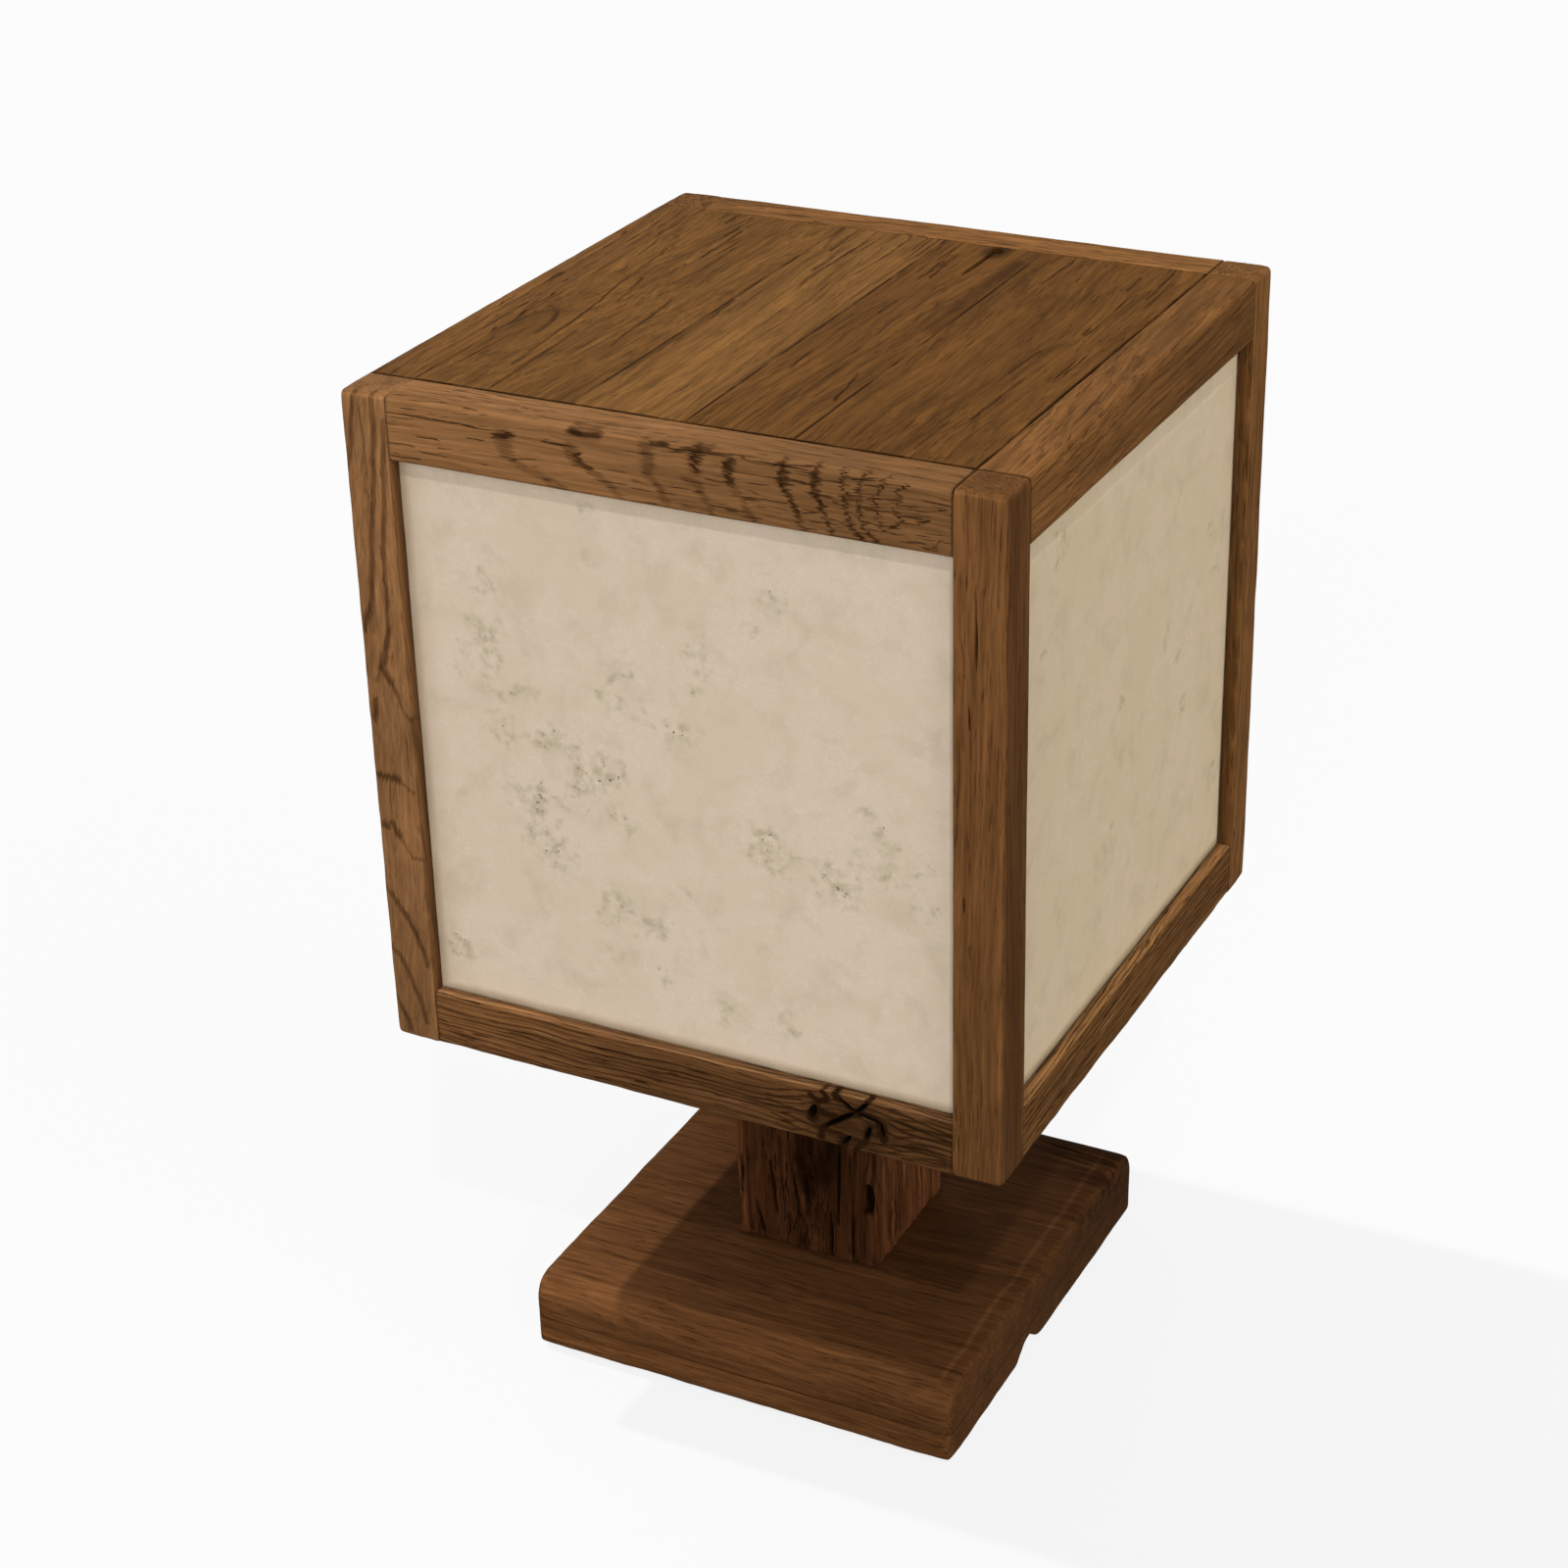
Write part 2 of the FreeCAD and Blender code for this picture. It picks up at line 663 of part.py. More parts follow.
def make_tube_and_nut():
    bottom = "lantern_floor - tube_below"
    turned("threaded_tube", [
        ("tube_bore / 2", bottom), ("tube_diameter / 2", bottom),
        ("tube_diameter / 2", "tube_top"), ("tube_bore / 2", "tube_top"),
    ])
    turned("washer", [
        ("tube_hole / 2", "bearer_top"), ("washer_diameter / 2", "bearer_top"),
        ("washer_diameter / 2", "holder_floor"), ("tube_hole / 2", "holder_floor"),
    ])
    nut_low = "lantern_floor - nut_thickness"
    hexagon = doc.addObject("Part::Prism", "Nut_hexagon")
    hexagon.Polygon = 6
    bind(hexagon, Circumradius="nut_across_flats / sqrt(3)", Height="nut_thickness")
    place(hexagon, ("0", "0", nut_low))
    hole = cylinder("Nut_hole", ("0", "0", f"{nut_low} - {OVERCUT}"), "tube_hole / 2",
                    f"nut_thickness + 2 * {OVERCUT}")
    nut = doc.addObject("Part::Cut", "lock_nut")
    nut.Label = "lock_nut"
    nut.Base = hexagon
    nut.Tool = hole
    pieces.append(nut)


def make_holder():
    bell_low = "holder_floor + holder_cap_height / 2"
    cup_floor = "holder_floor + holder_floor_thickness"
    turned("holder_cap", [
        ("tube_hole / 2", "holder_floor"),
        ("holder_foot_diameter / 2", "holder_floor"),
        ("holder_diameter / 2", bell_low),
        ("holder_diameter / 2", "cap_rim"),
        ("holder_diameter / 2 - holder_wall", "cap_rim"),
        ("holder_diameter / 2 - holder_wall", f"{bell_low} + holder_wall / 2"),
        ("holder_foot_diameter / 2 - holder_wall / 2", cup_floor),
        ("tube_hole / 2", cup_floor),
    ])
    guide = "contact_stem / 2 + contact_running_gap"
    core = turned("holder_core", [
        (guide, "cap_rim"),
        ("holder_diameter / 2", "cap_rim"),
        ("holder_diameter / 2", "cap_rim + core_flange"),
        ("core_diameter / 2", "cap_rim + core_flange"),
        ("core_diameter / 2", "core_top"),
        ("spring_pocket_diameter / 2", "core_top"),
        ("spring_pocket_diameter / 2", "pocket_floor"),
        (guide, "pocket_floor"),
    ])
    spots = [("-terminal_spread / 2", "0"), ("terminal_spread / 2", "0")]
    for index, (x, y) in enumerate(spots, start=1):
        drill(core, f"Terminal_hole_{index}", (x, y, f"cap_rim - {OVERCUT}"),
              "terminal_diameter + 2 * screw_gap", f"terminal_length + 2 * {OVERCUT}")
    group("terminal_screws", [
        fused(f"Terminal_{index}", [
            cylinder(f"Terminal_{index}_head", (x, y, "cap_rim - terminal_head_height"),
                     "terminal_head_diameter / 2", "terminal_head_height"),
            cylinder(f"Terminal_{index}_shank", (x, y, "cap_rim"),
                     "terminal_diameter / 2", "terminal_length"),
        ])
        for index, (x, y) in enumerate(spots, start=1)
    ])
    skirt_low = "cap_rim + core_flange"
    turned("holder_sleeve", [
        ("holder_diameter / 2 - holder_wall", skirt_low), ("holder_diameter / 2", skirt_low),
        ("holder_diameter / 2", f"{skirt_low} + sleeve_height"),
        ("holder_diameter / 2 - holder_wall", f"{skirt_low} + sleeve_height"),
    ])
    turned("thread_sleeve", [
        ("thread_bore / 2", "core_top"), ("thread_bore / 2 + thread_wall", "core_top"),
        ("thread_bore / 2 + thread_wall", "core_top + thread_sleeve_height"),
        ("thread_bore / 2", "core_top + thread_sleeve_height"),
    ])


def make_contact():
    """The contact rides in its guide on a small spring, and follows the bulb's foot as the bulb turns out."""
    disc_low = "contact_top - contact_thickness"
    turned("centre_contact", [
        ("0", "cap_rim + contact_stem_inset"), ("contact_stem / 2", "cap_rim + contact_stem_inset"),
        ("contact_stem / 2", disc_low), ("contact_diameter / 2", disc_low),
        ("contact_diameter / 2", "contact_top"), ("0", "contact_top"),
    ])
    coil = doc.addObject("Part::Helix", "Spring_line")
    bind(coil, Pitch="spring_height / spring_turns", Height="spring_height", Radius="spring_radius")
    place(coil, ("0", "0", "spring_floor"))
    wire = doc.addObject("Part::Circle", "Spring_section")
    bind(wire, Radius="spring_wire / 2")
    wire.Placement.Rotation = FreeCAD.Rotation(FreeCAD.Vector(1, 0, 0), 90)
    place(wire, ("spring_radius", "0", "spring_floor"))
    spring = doc.addObject("Part::Sweep", "contact_spring")
    spring.Label = "contact_spring"
    spring.Sections = [wire]
    spring.Spine = (coil, [])
    spring.Solid = True
    spring.Frenet = True
    pieces.append(spring)


# Bulb

def make_bulb():
    rim = "collar_inner + cap_wall"
    thread = []
    for index in range(THREAD_TURNS):
        low = f"cap_floor + {index} * cap_thread_pitch"
        thread.append(("thread_root", low))
        thread.append(("cap_thread_diameter / 2", f"{low} + cap_thread_pitch / 2"))
    thread_top = f"cap_floor + {THREAD_TURNS} * cap_thread_pitch"
    turned("bulb_cap", [
        *thread,
        ("thread_root", thread_top),
        (rim, "collar_floor"),
        (rim, "collar_floor + collar_height"),
        ("collar_inner", "collar_floor + collar_height"),
        ("collar_inner", "collar_floor + cap_wall"),
        ("thread_root - cap_wall", f"{thread_top} + cap_wall"),
        ("thread_root - cap_wall", "cap_floor"),
    ])
    hole = "foot_diameter / 2 + joint_gap"
    turned("bulb_insulator", [
        (hole, "bulb_foot + insulator_lip"),
        (f"{hole} + insulator_lip", "bulb_foot + insulator_lip"),
        ("thread_root", "cap_floor - insulator_lip"),
        ("thread_root", "cap_floor"),
        (hole, "cap_floor"),
    ])
    turned("bulb_foot_contact", [
        ("0", "bulb_foot"), ("foot_diameter / 2 - insulator_lip", "bulb_foot"),
        ("foot_diameter / 2", "bulb_foot + insulator_lip"),
        ("foot_diameter / 2", "bulb_foot + foot_height"), ("0", "bulb_foot + foot_height"),
    ])
    make_bulb_glass()
    stem_root = "bulb_neck_diameter / 2 - glass_wall - joint_gap"
    stem_head_low = "stem_top - stem_head_thickness"
    turned("bulb_stem", [
        ("0", "stem_floor"), (stem_root, "stem_floor"),
        ("stem_diameter / 2", f"stem_floor + {stem_root}"), ("stem_diameter / 2", stem_head_low),
        ("stem_head_diameter / 2", stem_head_low), ("stem_head_diameter / 2", "stem_top"), ("0", "stem_top"),
    ])
    spots = [
        ("filament_circle / 2", "0"), ("0", "filament_circle / 2"),
        ("-filament_circle / 2", "0"), ("0", "-filament_circle / 2"),
    ]
    group("bulb_filaments", [
        cylinder(f"Filament_{index}", (x, y, "stem_top"), "filament_diameter / 2", "filament_length")
        for index, (x, y) in enumerate(spots, start=1)
    ])


def make_bulb_glass():
    """A ball on a flared neck: the flare is a cone that runs tangent to the ball, open at the neck."""
    def envelope(name, inset, floor):
        radius = f"(bulb_diameter / 2 - {inset})"
        neck = f"(bulb_neck_diameter / 2 - {inset})"
        flare_top = f"bulb_middle - {radius} * sin(bulb_flare * 1 deg)"
        flare_radius = f"({radius} * cos(bulb_flare * 1 deg))"
        flare_height = f"(({flare_radius} - {neck}) / tan(bulb_flare * 1 deg))"
        flare_low = f"{flare_top} - {flare_height}"
        return fused(name, [
            ball(name + "_ball", ("0", "0", "bulb_middle"), radius),
            cone(name + "_flare", ("0", "0", flare_low), neck, flare_radius, flare_height),
            cylinder(name + "_neck", ("0", "0", floor), neck, f"{flare_low} - ({floor})"),
        ])
    glass = doc.addObject("Part::Cut", "bulb_glass")
    glass.Label = "bulb_glass"
    glass.Base = envelope("Glass_outside", "0", "glass_floor")
    glass.Tool = envelope("Glass_inside", "glass_wall", f"glass_floor - {OVERCUT}")
    pieces.append(glass)


# Checks and export

def check_document():
    doc.recompute()
    failed = [item.Name for item in doc.Objects if {"Invalid", "Error"} & set(item.State)]
    if failed:
        raise RuntimeError(f"failed objects: {failed}")
    for piece in pieces:
        if piece.Shape.isNull() or not piece.Shape.isValid() or not piece.Shape.Solids:
            raise RuntimeError(f"{piece.Label} has no valid solid")


def write_pieces():
    os.makedirs("parts", exist_ok=True)
    whole = FreeCAD.BoundBox()
    for piece in pieces:
        solids = piece.Shape.Solids
        shape = solids[0] if len(solids) == 1 else Part.makeCompound(solids)
        shape.exportStep(os.path.join("parts", f"{piece.Label}.step"))
        whole.add(shape.BoundBox)
        volume = sum(solid.Volume for solid in solids) / 1000
        print(f"{piece.Label}: {len(solids)} solid(s), {volume:.2f} cm3")
    print(f"{len(pieces)} pieces, {whole.XLength:.1f} x {whole.YLength:.1f} x {whole.ZLength:.1f} mm")
    pitch = number("spring_height / spring_turns")
    print(f"least gap between the spring's turns: {pitch - number('spring_wire'):.2f} mm")


fill_sheet()
for side_name in SIDES:
    make_post(side_name)
    make_rail(side_name, "top")
    make_rail(side_name, "bottom")
    make_panel(side_name)
    make_beads(side_name)
make_lid_boards()
make_bearer()
make_pedestal()
make_base()
make_pads()
make_wood_screws()
make_tube_and_nut()
make_holder()
make_contact()
make_bulb()
check_document()
write_pieces()
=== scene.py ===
# %% [markdown]
# # A square table lamp of old oak and parchment
# The lamp is a lantern of reclaimed oak with parchment panels, on a short post and a thick slab.
# Its solid model is loaded first and stays fixed, and it gives every piece its place and size. The wood is
# then replaced by worn copies, and every surface gets a finish built from nodes.

# %% Load the frame
import json
from math import pi, radians

import bpy
import numpy as np
from mathutils import Matrix, Quaternion, Vector


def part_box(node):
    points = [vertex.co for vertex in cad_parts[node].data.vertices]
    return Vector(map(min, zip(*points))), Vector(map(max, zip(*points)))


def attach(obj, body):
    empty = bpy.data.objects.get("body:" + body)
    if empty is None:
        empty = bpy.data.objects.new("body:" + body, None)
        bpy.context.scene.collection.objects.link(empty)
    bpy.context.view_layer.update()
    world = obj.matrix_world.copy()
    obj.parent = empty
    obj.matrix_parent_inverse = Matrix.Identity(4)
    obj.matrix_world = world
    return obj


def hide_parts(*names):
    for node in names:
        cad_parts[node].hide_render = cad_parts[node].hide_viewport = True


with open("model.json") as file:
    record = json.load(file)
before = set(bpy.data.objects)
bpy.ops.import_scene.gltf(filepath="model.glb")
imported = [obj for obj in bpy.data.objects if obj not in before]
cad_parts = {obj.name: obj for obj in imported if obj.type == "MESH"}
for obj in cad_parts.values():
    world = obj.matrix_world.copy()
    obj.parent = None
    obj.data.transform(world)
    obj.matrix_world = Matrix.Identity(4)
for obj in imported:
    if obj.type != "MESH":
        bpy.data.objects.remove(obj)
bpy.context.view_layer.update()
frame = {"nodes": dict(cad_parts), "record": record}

# %% [markdown]
# ## Camera
# The photograph was taken from the front right and above, with a longish lens and a slight tilt of the
# camera. Place, aim and tilt come from the edges of the lantern, whose corners then fall on those of the
# photograph.

# %% Camera
CAMERA_PLACE = Vector((0.5880, -1.1783, 0.9559))
CAMERA_AIM = Vector((-0.0201, -0.0105, 0.2784))
CAMERA_TILT = radians(-1.547)
CAMERA_LENS = 73.80

bpy.ops.object.select_all(action="DESELECT")
bpy.ops.object.camera_add(location=CAMERA_PLACE)
camera = bpy.context.object
camera.data.lens = CAMERA_LENS
camera.rotation_mode = "QUATERNION"
facing = (CAMERA_AIM - CAMERA_PLACE).to_track_quat("-Z", "Y")
camera.rotation_quaternion = facing @ Quaternion((0, 0, 1), CAMERA_TILT)
bpy.context.scene.camera = camera
print("camera stands", round((CAMERA_AIM - CAMERA_PLACE).length, 3), "m from the lamp's middle")

# %% [markdown]
# ## A helper for nodes
# A finish is a chain of many small nodes. This helper adds a node, fills its inputs with numbers or with the
# outputs of earlier nodes, and hands back its output, so that a finish reads like a recipe.


# %% Node helper
class Recipe:
    """Adds nodes to one node tree and joins them."""

    def __init__(self, tree):
        self.tree = tree

    def put(self, socket, value):
        if isinstance(value, bpy.types.NodeSocket):
            self.tree.links.new(value, socket)
        else:
            socket.default_value = value

    def add(self, kind, inputs=None, **settings):
        """A new node with its settings and with inputs by name or number."""
        node = self.tree.nodes.new(kind)
        for name, value in settings.items():
            setattr(node, name, value)
        for name, value in (inputs or {}).items():
            self.put(node.inputs[name], value)
        return node

    def math(self, operation, *values):
        return self.add("ShaderNodeMath", dict(enumerate(values)), operation=operation).outputs[0]

    def chain(self, operation, values):
        """One operation on the first two values, then on its result and the next value, and so on."""
        result = values[0]
        for value in values[1:]:
            result = self.math(operation, result, value)
        return result

    def times(self, *values):
        return self.chain("MULTIPLY", values)

    def plus(self, *values):
        return self.chain("ADD", values)

    def minus(self, *values):
        return self.chain("SUBTRACT", values)

    def most(self, *values):
        return self.chain("MAXIMUM", values)

    def least(self, *values):
        return self.chain("MINIMUM", values)

    def centred(self, value):
        """A value that ran from 0 to 1 runs from -0.5 to 0.5."""
        return self.minus(value, 0.5)

    def distance(self, value, place):
        """How far a value is from a place, on either side."""
        return self.math("ABSOLUTE", self.minus(value, place))

    def vector(self, operation, *values):
        node = self.add("ShaderNodeVectorMath", dict(enumerate(values)), operation=operation)
        return node.outputs["Value" if operation in ("LENGTH", "DOT_PRODUCT", "DISTANCE") else "Vector"]

    def split(self, vector):
        return self.add("ShaderNodeSeparateXYZ", {"Vector": vector}).outputs

    def join(self, x, y, z):
        return self.add("ShaderNodeCombineXYZ", {"X": x, "Y": y, "Z": z}).outputs[0]

    def step(self, value, low, high):
        """0 at low, 1 at high, with a soft change between."""
        inputs = {"Value": value, "From Min": low, "From Max": high}
        return self.add("ShaderNodeMapRange", inputs, interpolation_type="SMOOTHSTEP").outputs[0]

    def spread(self, value, low, high):
        """0 to 1 becomes low to high."""
        return self.add("ShaderNodeMapRange", {"Value": value, "To Min": low, "To Max": high}).outputs[0]

    def noise(self, place, scale=1.0, detail=2.0, roughness=0.5, distortion=0.0):
        inputs = {"Vector": place, "Scale": scale, "Detail": detail, "Roughness": roughness,
                  "Distortion": distortion}
        return self.add("ShaderNodeTexNoise", inputs).outputs["Fac"]

    def stretched(self, place, scales, **settings):
        """Noise whose grains have another size along each axis."""
        return self.noise(self.vector("MULTIPLY", place, scales), **settings)

    def mix(self, share, first, second, blend="MIX"):
        """Two colours mixed. The inputs 6 and 7 and the output 2 of the node are those for colours."""
        inputs = {0: share, 6: first, 7: second}
        return self.add("ShaderNodeMix", inputs, data_type="RGBA", blend_type=blend).outputs[2]

    def mix_value(self, share, first, second):
        """First where the share is 0 and second where it is 1."""
        return self.plus(first, self.times(share, self.minus(second, first)))

    def shaded(self, colour, level):
        """A colour times a level that changes over the surface."""
        return self.mix(1.0, colour, self.join(level, level, level), "MULTIPLY")

    def bump(self, shader, height, strength, distance):
        """Tilts a shader's normal by a height."""
        node = self.add("ShaderNodeBump", {"Height": height, "Strength": strength, "Distance": distance})
        self.put(shader["Normal"], node.outputs[0])

    def group(self, tree, inputs):
        return self.add("ShaderNodeGroup", inputs, node_tree=tree).outputs


def cleared(owner):
    """The recipe of a material or a world, whose node tree is emptied."""
    owner.use_nodes = True
    owner.node_tree.nodes.clear()
    return Recipe(owner.node_tree)


# %% Groups, finishes and colours
FLOAT, VECTOR = "NodeSocketFloat", "NodeSocketVector"


def new_group(name, inputs, outputs):
    """A shader node group with named sockets, and its recipe, inputs and output node."""
    tree = bpy.data.node_groups.new(name, "ShaderNodeTree")
    for socket, kind in inputs.items():
        tree.interface.new_socket(socket, in_out="INPUT", socket_type=kind)
    for socket, kind in outputs.items():
        tree.interface.new_socket(socket, in_out="OUTPUT", socket_type=kind)
    recipe = Recipe(tree)
    given = recipe.add("NodeGroupInput").outputs
    result = recipe.add("NodeGroupOutput").inputs
    return tree, recipe, given, result


def new_finish(name, **plain):
    """A material with one Principled BSDF whose plain values are set on its own sockets."""
    material = bpy.data.materials.new(name)
    recipe = cleared(material)
    shader = recipe.add("ShaderNodeBsdfPrincipled")
    for socket, value in plain.items():
        shader.inputs[socket.replace("_", " ")].default_value = value
    recipe.add("ShaderNodeOutputMaterial", {"Surface": shader.outputs[0]})
    place = recipe.add("ShaderNodeTexCoord").outputs
    return material, recipe, shader.inputs, place


def colour(r, g, b):
    return (r, g, b, 1)


def scaled(rgb, *levels):
    """A colour times one level, or times a level for each channel."""
    levels = levels * 3 if len(levels) == 1 else levels
    return tuple(channel * level for channel, level in zip(rgb, levels)) + (1,)


# %% [markdown]
# ## Floor and light
# The photograph is a studio shot on white. A hard light from the upper left draws the lantern's shadow on
# the slab, and a weaker hard one comes from the front right. Two broad soft ones from the front and the right
# lift the upright faces, and a weak one does the same behind. Suns give each of them an even level from a
# known direction. The floor shows white to the camera but keeps the lamp's shadow, and sends little light
# back up, because the photograph's lamp is dark underneath.

# %% Lights
# Each light: the direction towards it, its level, and its breadth in degrees.
LIGHTS = {
    "left light": ((-0.54, 0.0, 1.0), 1.50, 1.2),
    "right light": ((0.62, -1.0, 1.37), 0.64, 1.5),
    "broad front light": ((0.25, -0.95, 0.26), 1.37, 40),
    "broad right light": ((0.95, -0.20, 0.26), 1.03, 60),
    "weak back light": ((-0.75, 0.80, 0.45), 0.55, 40),
}

for name, (towards, level, breadth) in LIGHTS.items():
    bpy.ops.object.light_add(type="SUN")
    lamp = bpy.context.object
    lamp.name = name.replace(" ", "_")
    lamp.data.energy = level
    lamp.data.angle = radians(breadth)
    lamp.rotation_mode = "QUATERNION"
    lamp.rotation_quaternion = Vector(towards).to_track_quat("Z", "Y")
print(len(LIGHTS), "lights")

# %% Floor and backdrop
FLOOR_HALF = 12.0
FLOOR_GLOW = 0.84
FLOOR_SHADE = colour(0.13, 0.13, 0.13)
FLOOR_BOUNCE = colour(0.12, 0.12, 0.12)
WORLD_LEVEL = 0.17
WHITE_LEVEL = 0.97


def seen_rays(recipe):
    """1 for rays that show something to the camera, directly, mirrored or through glass."""
    rays = recipe.add("ShaderNodeLightPath").outputs
    return recipe.most(rays["Is Camera Ray"], rays["Is Glossy Ray"], rays["Is Transmission Ray"])


world = bpy.data.worlds.new("Studio")
bpy.context.scene.world = world
recipe = cleared(world)
level = recipe.spread(seen_rays(recipe), WORLD_LEVEL, WHITE_LEVEL)
backdrop = recipe.add("ShaderNodeBackground", {"Color": (1, 1, 1, 1), "Strength": level})
recipe.add("ShaderNodeOutputWorld", {"Surface": backdrop.outputs[0]})

bpy.ops.mesh.primitive_plane_add(size=2 * FLOOR_HALF)
floor = bpy.context.object
floor.name = "floor"
finish = bpy.data.materials.new("Pale floor")
recipe = cleared(finish)
glow = recipe.add("ShaderNodeEmission", {"Strength": FLOOR_GLOW})
shade = recipe.add("ShaderNodeBsdfDiffuse", {"Color": FLOOR_SHADE})
both = recipe.add("ShaderNodeAddShader", {0: glow.outputs[0], 1: shade.outputs[0]})
bounce = recipe.add("ShaderNodeBsdfDiffuse", {"Color": FLOOR_BOUNCE})
chosen = recipe.add("ShaderNodeMixShader", {0: seen_rays(recipe), 1: bounce.outputs[0], 2: both.outputs[0]})
recipe.add("ShaderNodeOutputMaterial", {"Surface": chosen.outputs[0]})
floor.data.materials.append(finish)
bpy.context.scene.view_settings.view_transform = "Standard"
print("floor", 2 * FLOOR_HALF, "m wide")

# %% [markdown]
# ## Worn copies of the timber
# A planed board from a drawing has flat faces and even edges, but this oak was used before: its outer arrises
# are rubbed round, its faces are a little hollow, and its soft grain has sunk. Each solid is copied, its
# loose triangles are merged, and a voxel remesh gives it an even skin. Displacements then press it inwards
# only, so that it stays inside its solid. A remesh would also round the joints, which are tight on the real
# lamp: so a board is first stretched past its joints, and its spare length is cut off square when its skin is
# finished.


# %% Modelling helpers
def make_active(piece):
    bpy.ops.object.select_all(action="DESELECT")
    piece.select_set(True)
    bpy.context.view_layer.objects.active = piece


def apply_modifier(piece, kind, **settings):
    make_active(piece)
    modifier = piece.modifiers.new(kind.title(), kind)
    for name, value in settings.items():
        setattr(modifier, name, value)
    bpy.ops.object.modifier_apply(modifier=modifier.name)


def vertex_places(piece):
    places = np.empty(len(piece.data.vertices) * 3, np.float32)
    piece.data.vertices.foreach_get("co", places)
    return places.reshape(-1, 3)


def edit_vertices(piece, wanted=None):
    """Enters edit mode with only the wanted vertices selected, or with all of them."""
    if wanted is None:
        wanted = np.ones(len(piece.data.vertices), bool)
    make_active(piece)
    bpy.ops.object.mode_set(mode="EDIT")
    bpy.ops.mesh.select_all(action="DESELECT")
    bpy.ops.object.mode_set(mode="OBJECT")
    piece.data.vertices.foreach_set("select", wanted)
    bpy.ops.object.mode_set(mode="EDIT")


# %% Where the boards meet
TONGUE = 0.00485
FRAME_INSIDE = -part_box("post_front_left")[1].x
JOINT_SPARE = 0.004
JOINT_NEAR = 0.0004
SEAM = 0.00008
AXIS = {"X": 0, "Y": 1, "Z": 2}


def shown_box(node):
    """Centre and half size of what shows of a node, without its tongues and tenons."""
    low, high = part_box(node)
    if "rail" in node:
        along = 0 if high.x > 0 > low.x else 1
        low[along], high[along] = -FRAME_INSIDE, FRAME_INSIDE
    if "lid_board" in node:
        low.x += TONGUE
        high.x = min(high.x, FRAME_INSIDE)
        low.y, high.y = -FRAME_INSIDE, FRAME_INSIDE
    return (low + high) / 2, (high - low) / 2


def joint_axes(node, grain):
    """The axes along which a board ends against its neighbours."""
    if "lid_board" in node:
        return [0, 1]
    return [AXIS[grain]] if "rail" in node or node == "pedestal" else []


def joint_planes(node, grain):
    """The planes where a board ends against its neighbours, each as axis, side and place."""
    centre, half = shown_box(node)
    axes = joint_axes(node, grain)
    return [(axis, side, centre[axis] + side * half[axis]) for axis in axes for side in (-1, 1)]


def stretch_joints(piece, planes):
    """Moves the ends of a board outwards, past its joints."""
    for axis, side, plane in planes:
        edit_vertices(piece, side * vertex_places(piece)[:, axis] >= side * plane - JOINT_NEAR)
        move = [0.0, 0.0, 0.0]
        move[axis] = side * JOINT_SPARE
        bpy.ops.transform.translate(value=move)
        bpy.ops.object.mode_set(mode="OBJECT")


def trim_joints(piece, planes):
    """Cuts a board off at its joints. Triangles close the cuts, also round bores, but they leave slits in the
    ragged ends of the lid boards, so those get one face each."""
    one_face = "lid_board" in piece.name
    for axis, side, plane in planes:
        edit_vertices(piece)
        cut, outwards = [0.0, 0.0, 0.0], [0.0, 0.0, 0.0]
        cut[axis], outwards[axis] = plane - side * SEAM, side
        bpy.ops.mesh.bisect(plane_co=cut, plane_no=outwards, use_fill=not one_face, clear_outer=True)
        if one_face:
            bpy.ops.mesh.select_all(action="SELECT")
            bpy.ops.mesh.fill_holes(sides=0)
        bpy.ops.object.mode_set(mode="OBJECT")


# %% Rubbed arrises and corners
LANTERN_LOW, LANTERN_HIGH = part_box("post_front_left")[0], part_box("post_back_right")[1]
LANTERN = (LANTERN_LOW + LANTERN_HIGH) / 2, (LANTERN_HIGH - LANTERN_LOW) / 2
ARRIS_REACH = 0.006
ARRIS_FADE = 1.5
CORNER_REACH = 0.013


def outer_box(node):
    """The box whose edges are rubbed: the lantern's for its boards, and a node's own for the others."""
    return shown_box(node) if node in ("pedestal", "base_slab") else LANTERN


def depth_in_box(piece, box):
    """How far each vertex lies inside the sides of a box, axis by axis."""
    centre, half = box
    return np.array(half) - np.abs(vertex_places(piece) - np.array(centre))


def weight_vertices(piece, name, weights):
    group = piece.vertex_groups.new(name=name)
    for index in np.nonzero(weights)[0]:
        group.add([int(index)], float(weights[index]), "REPLACE")


def mark_arrises(piece, node):
    """A vertex group that is 1 on the outer arrises and fades to 0 within their reach."""
    to_arris = np.sort(depth_in_box(piece, outer_box(node)), axis=1)[:, 1]
    weight_vertices(piece, "arris", np.clip(1 - to_arris / ARRIS_REACH, 0, 1) ** ARRIS_FADE)


def mark_corners(piece):
    """A vertex group that is 1 on the lantern's eight corners and fades to 0 within their reach."""
    to_corner = np.linalg.norm(depth_in_box(piece, LANTERN), axis=1)
    weight_vertices(piece, "corner", np.clip(1 - to_corner / CORNER_REACH, 0, 1))


# %% Worn skin
def press_in(piece, texture, strength, group="", along=None):
    """Presses the skin inwards by a cloud pattern, stretched along the grain where along is given."""
    settings = {"texture": texture, "strength": strength, "mid_level": 1.0, "vertex_group": group}
    guide = None
    if along is not None:
        bpy.ops.object.select_all(action="DESELECT")
        bpy.ops.object.empty_add()
        guide = bpy.context.object
        guide.scale[AXIS[along]] = RIDGE_STRETCH
        bpy.context.view_layer.update()
        settings.update(texture_coords="OBJECT", texture_coords_object=guide)
    apply_modifier(piece, "DISPLACE", **settings)
    if guide is not None:
        bpy.data.objects.remove(guide)


def clouds(name, size, depth):
    texture = bpy.data.textures.new(name, "CLOUDS")
    texture.noise_scale = size
    texture.noise_depth = depth
    return texture


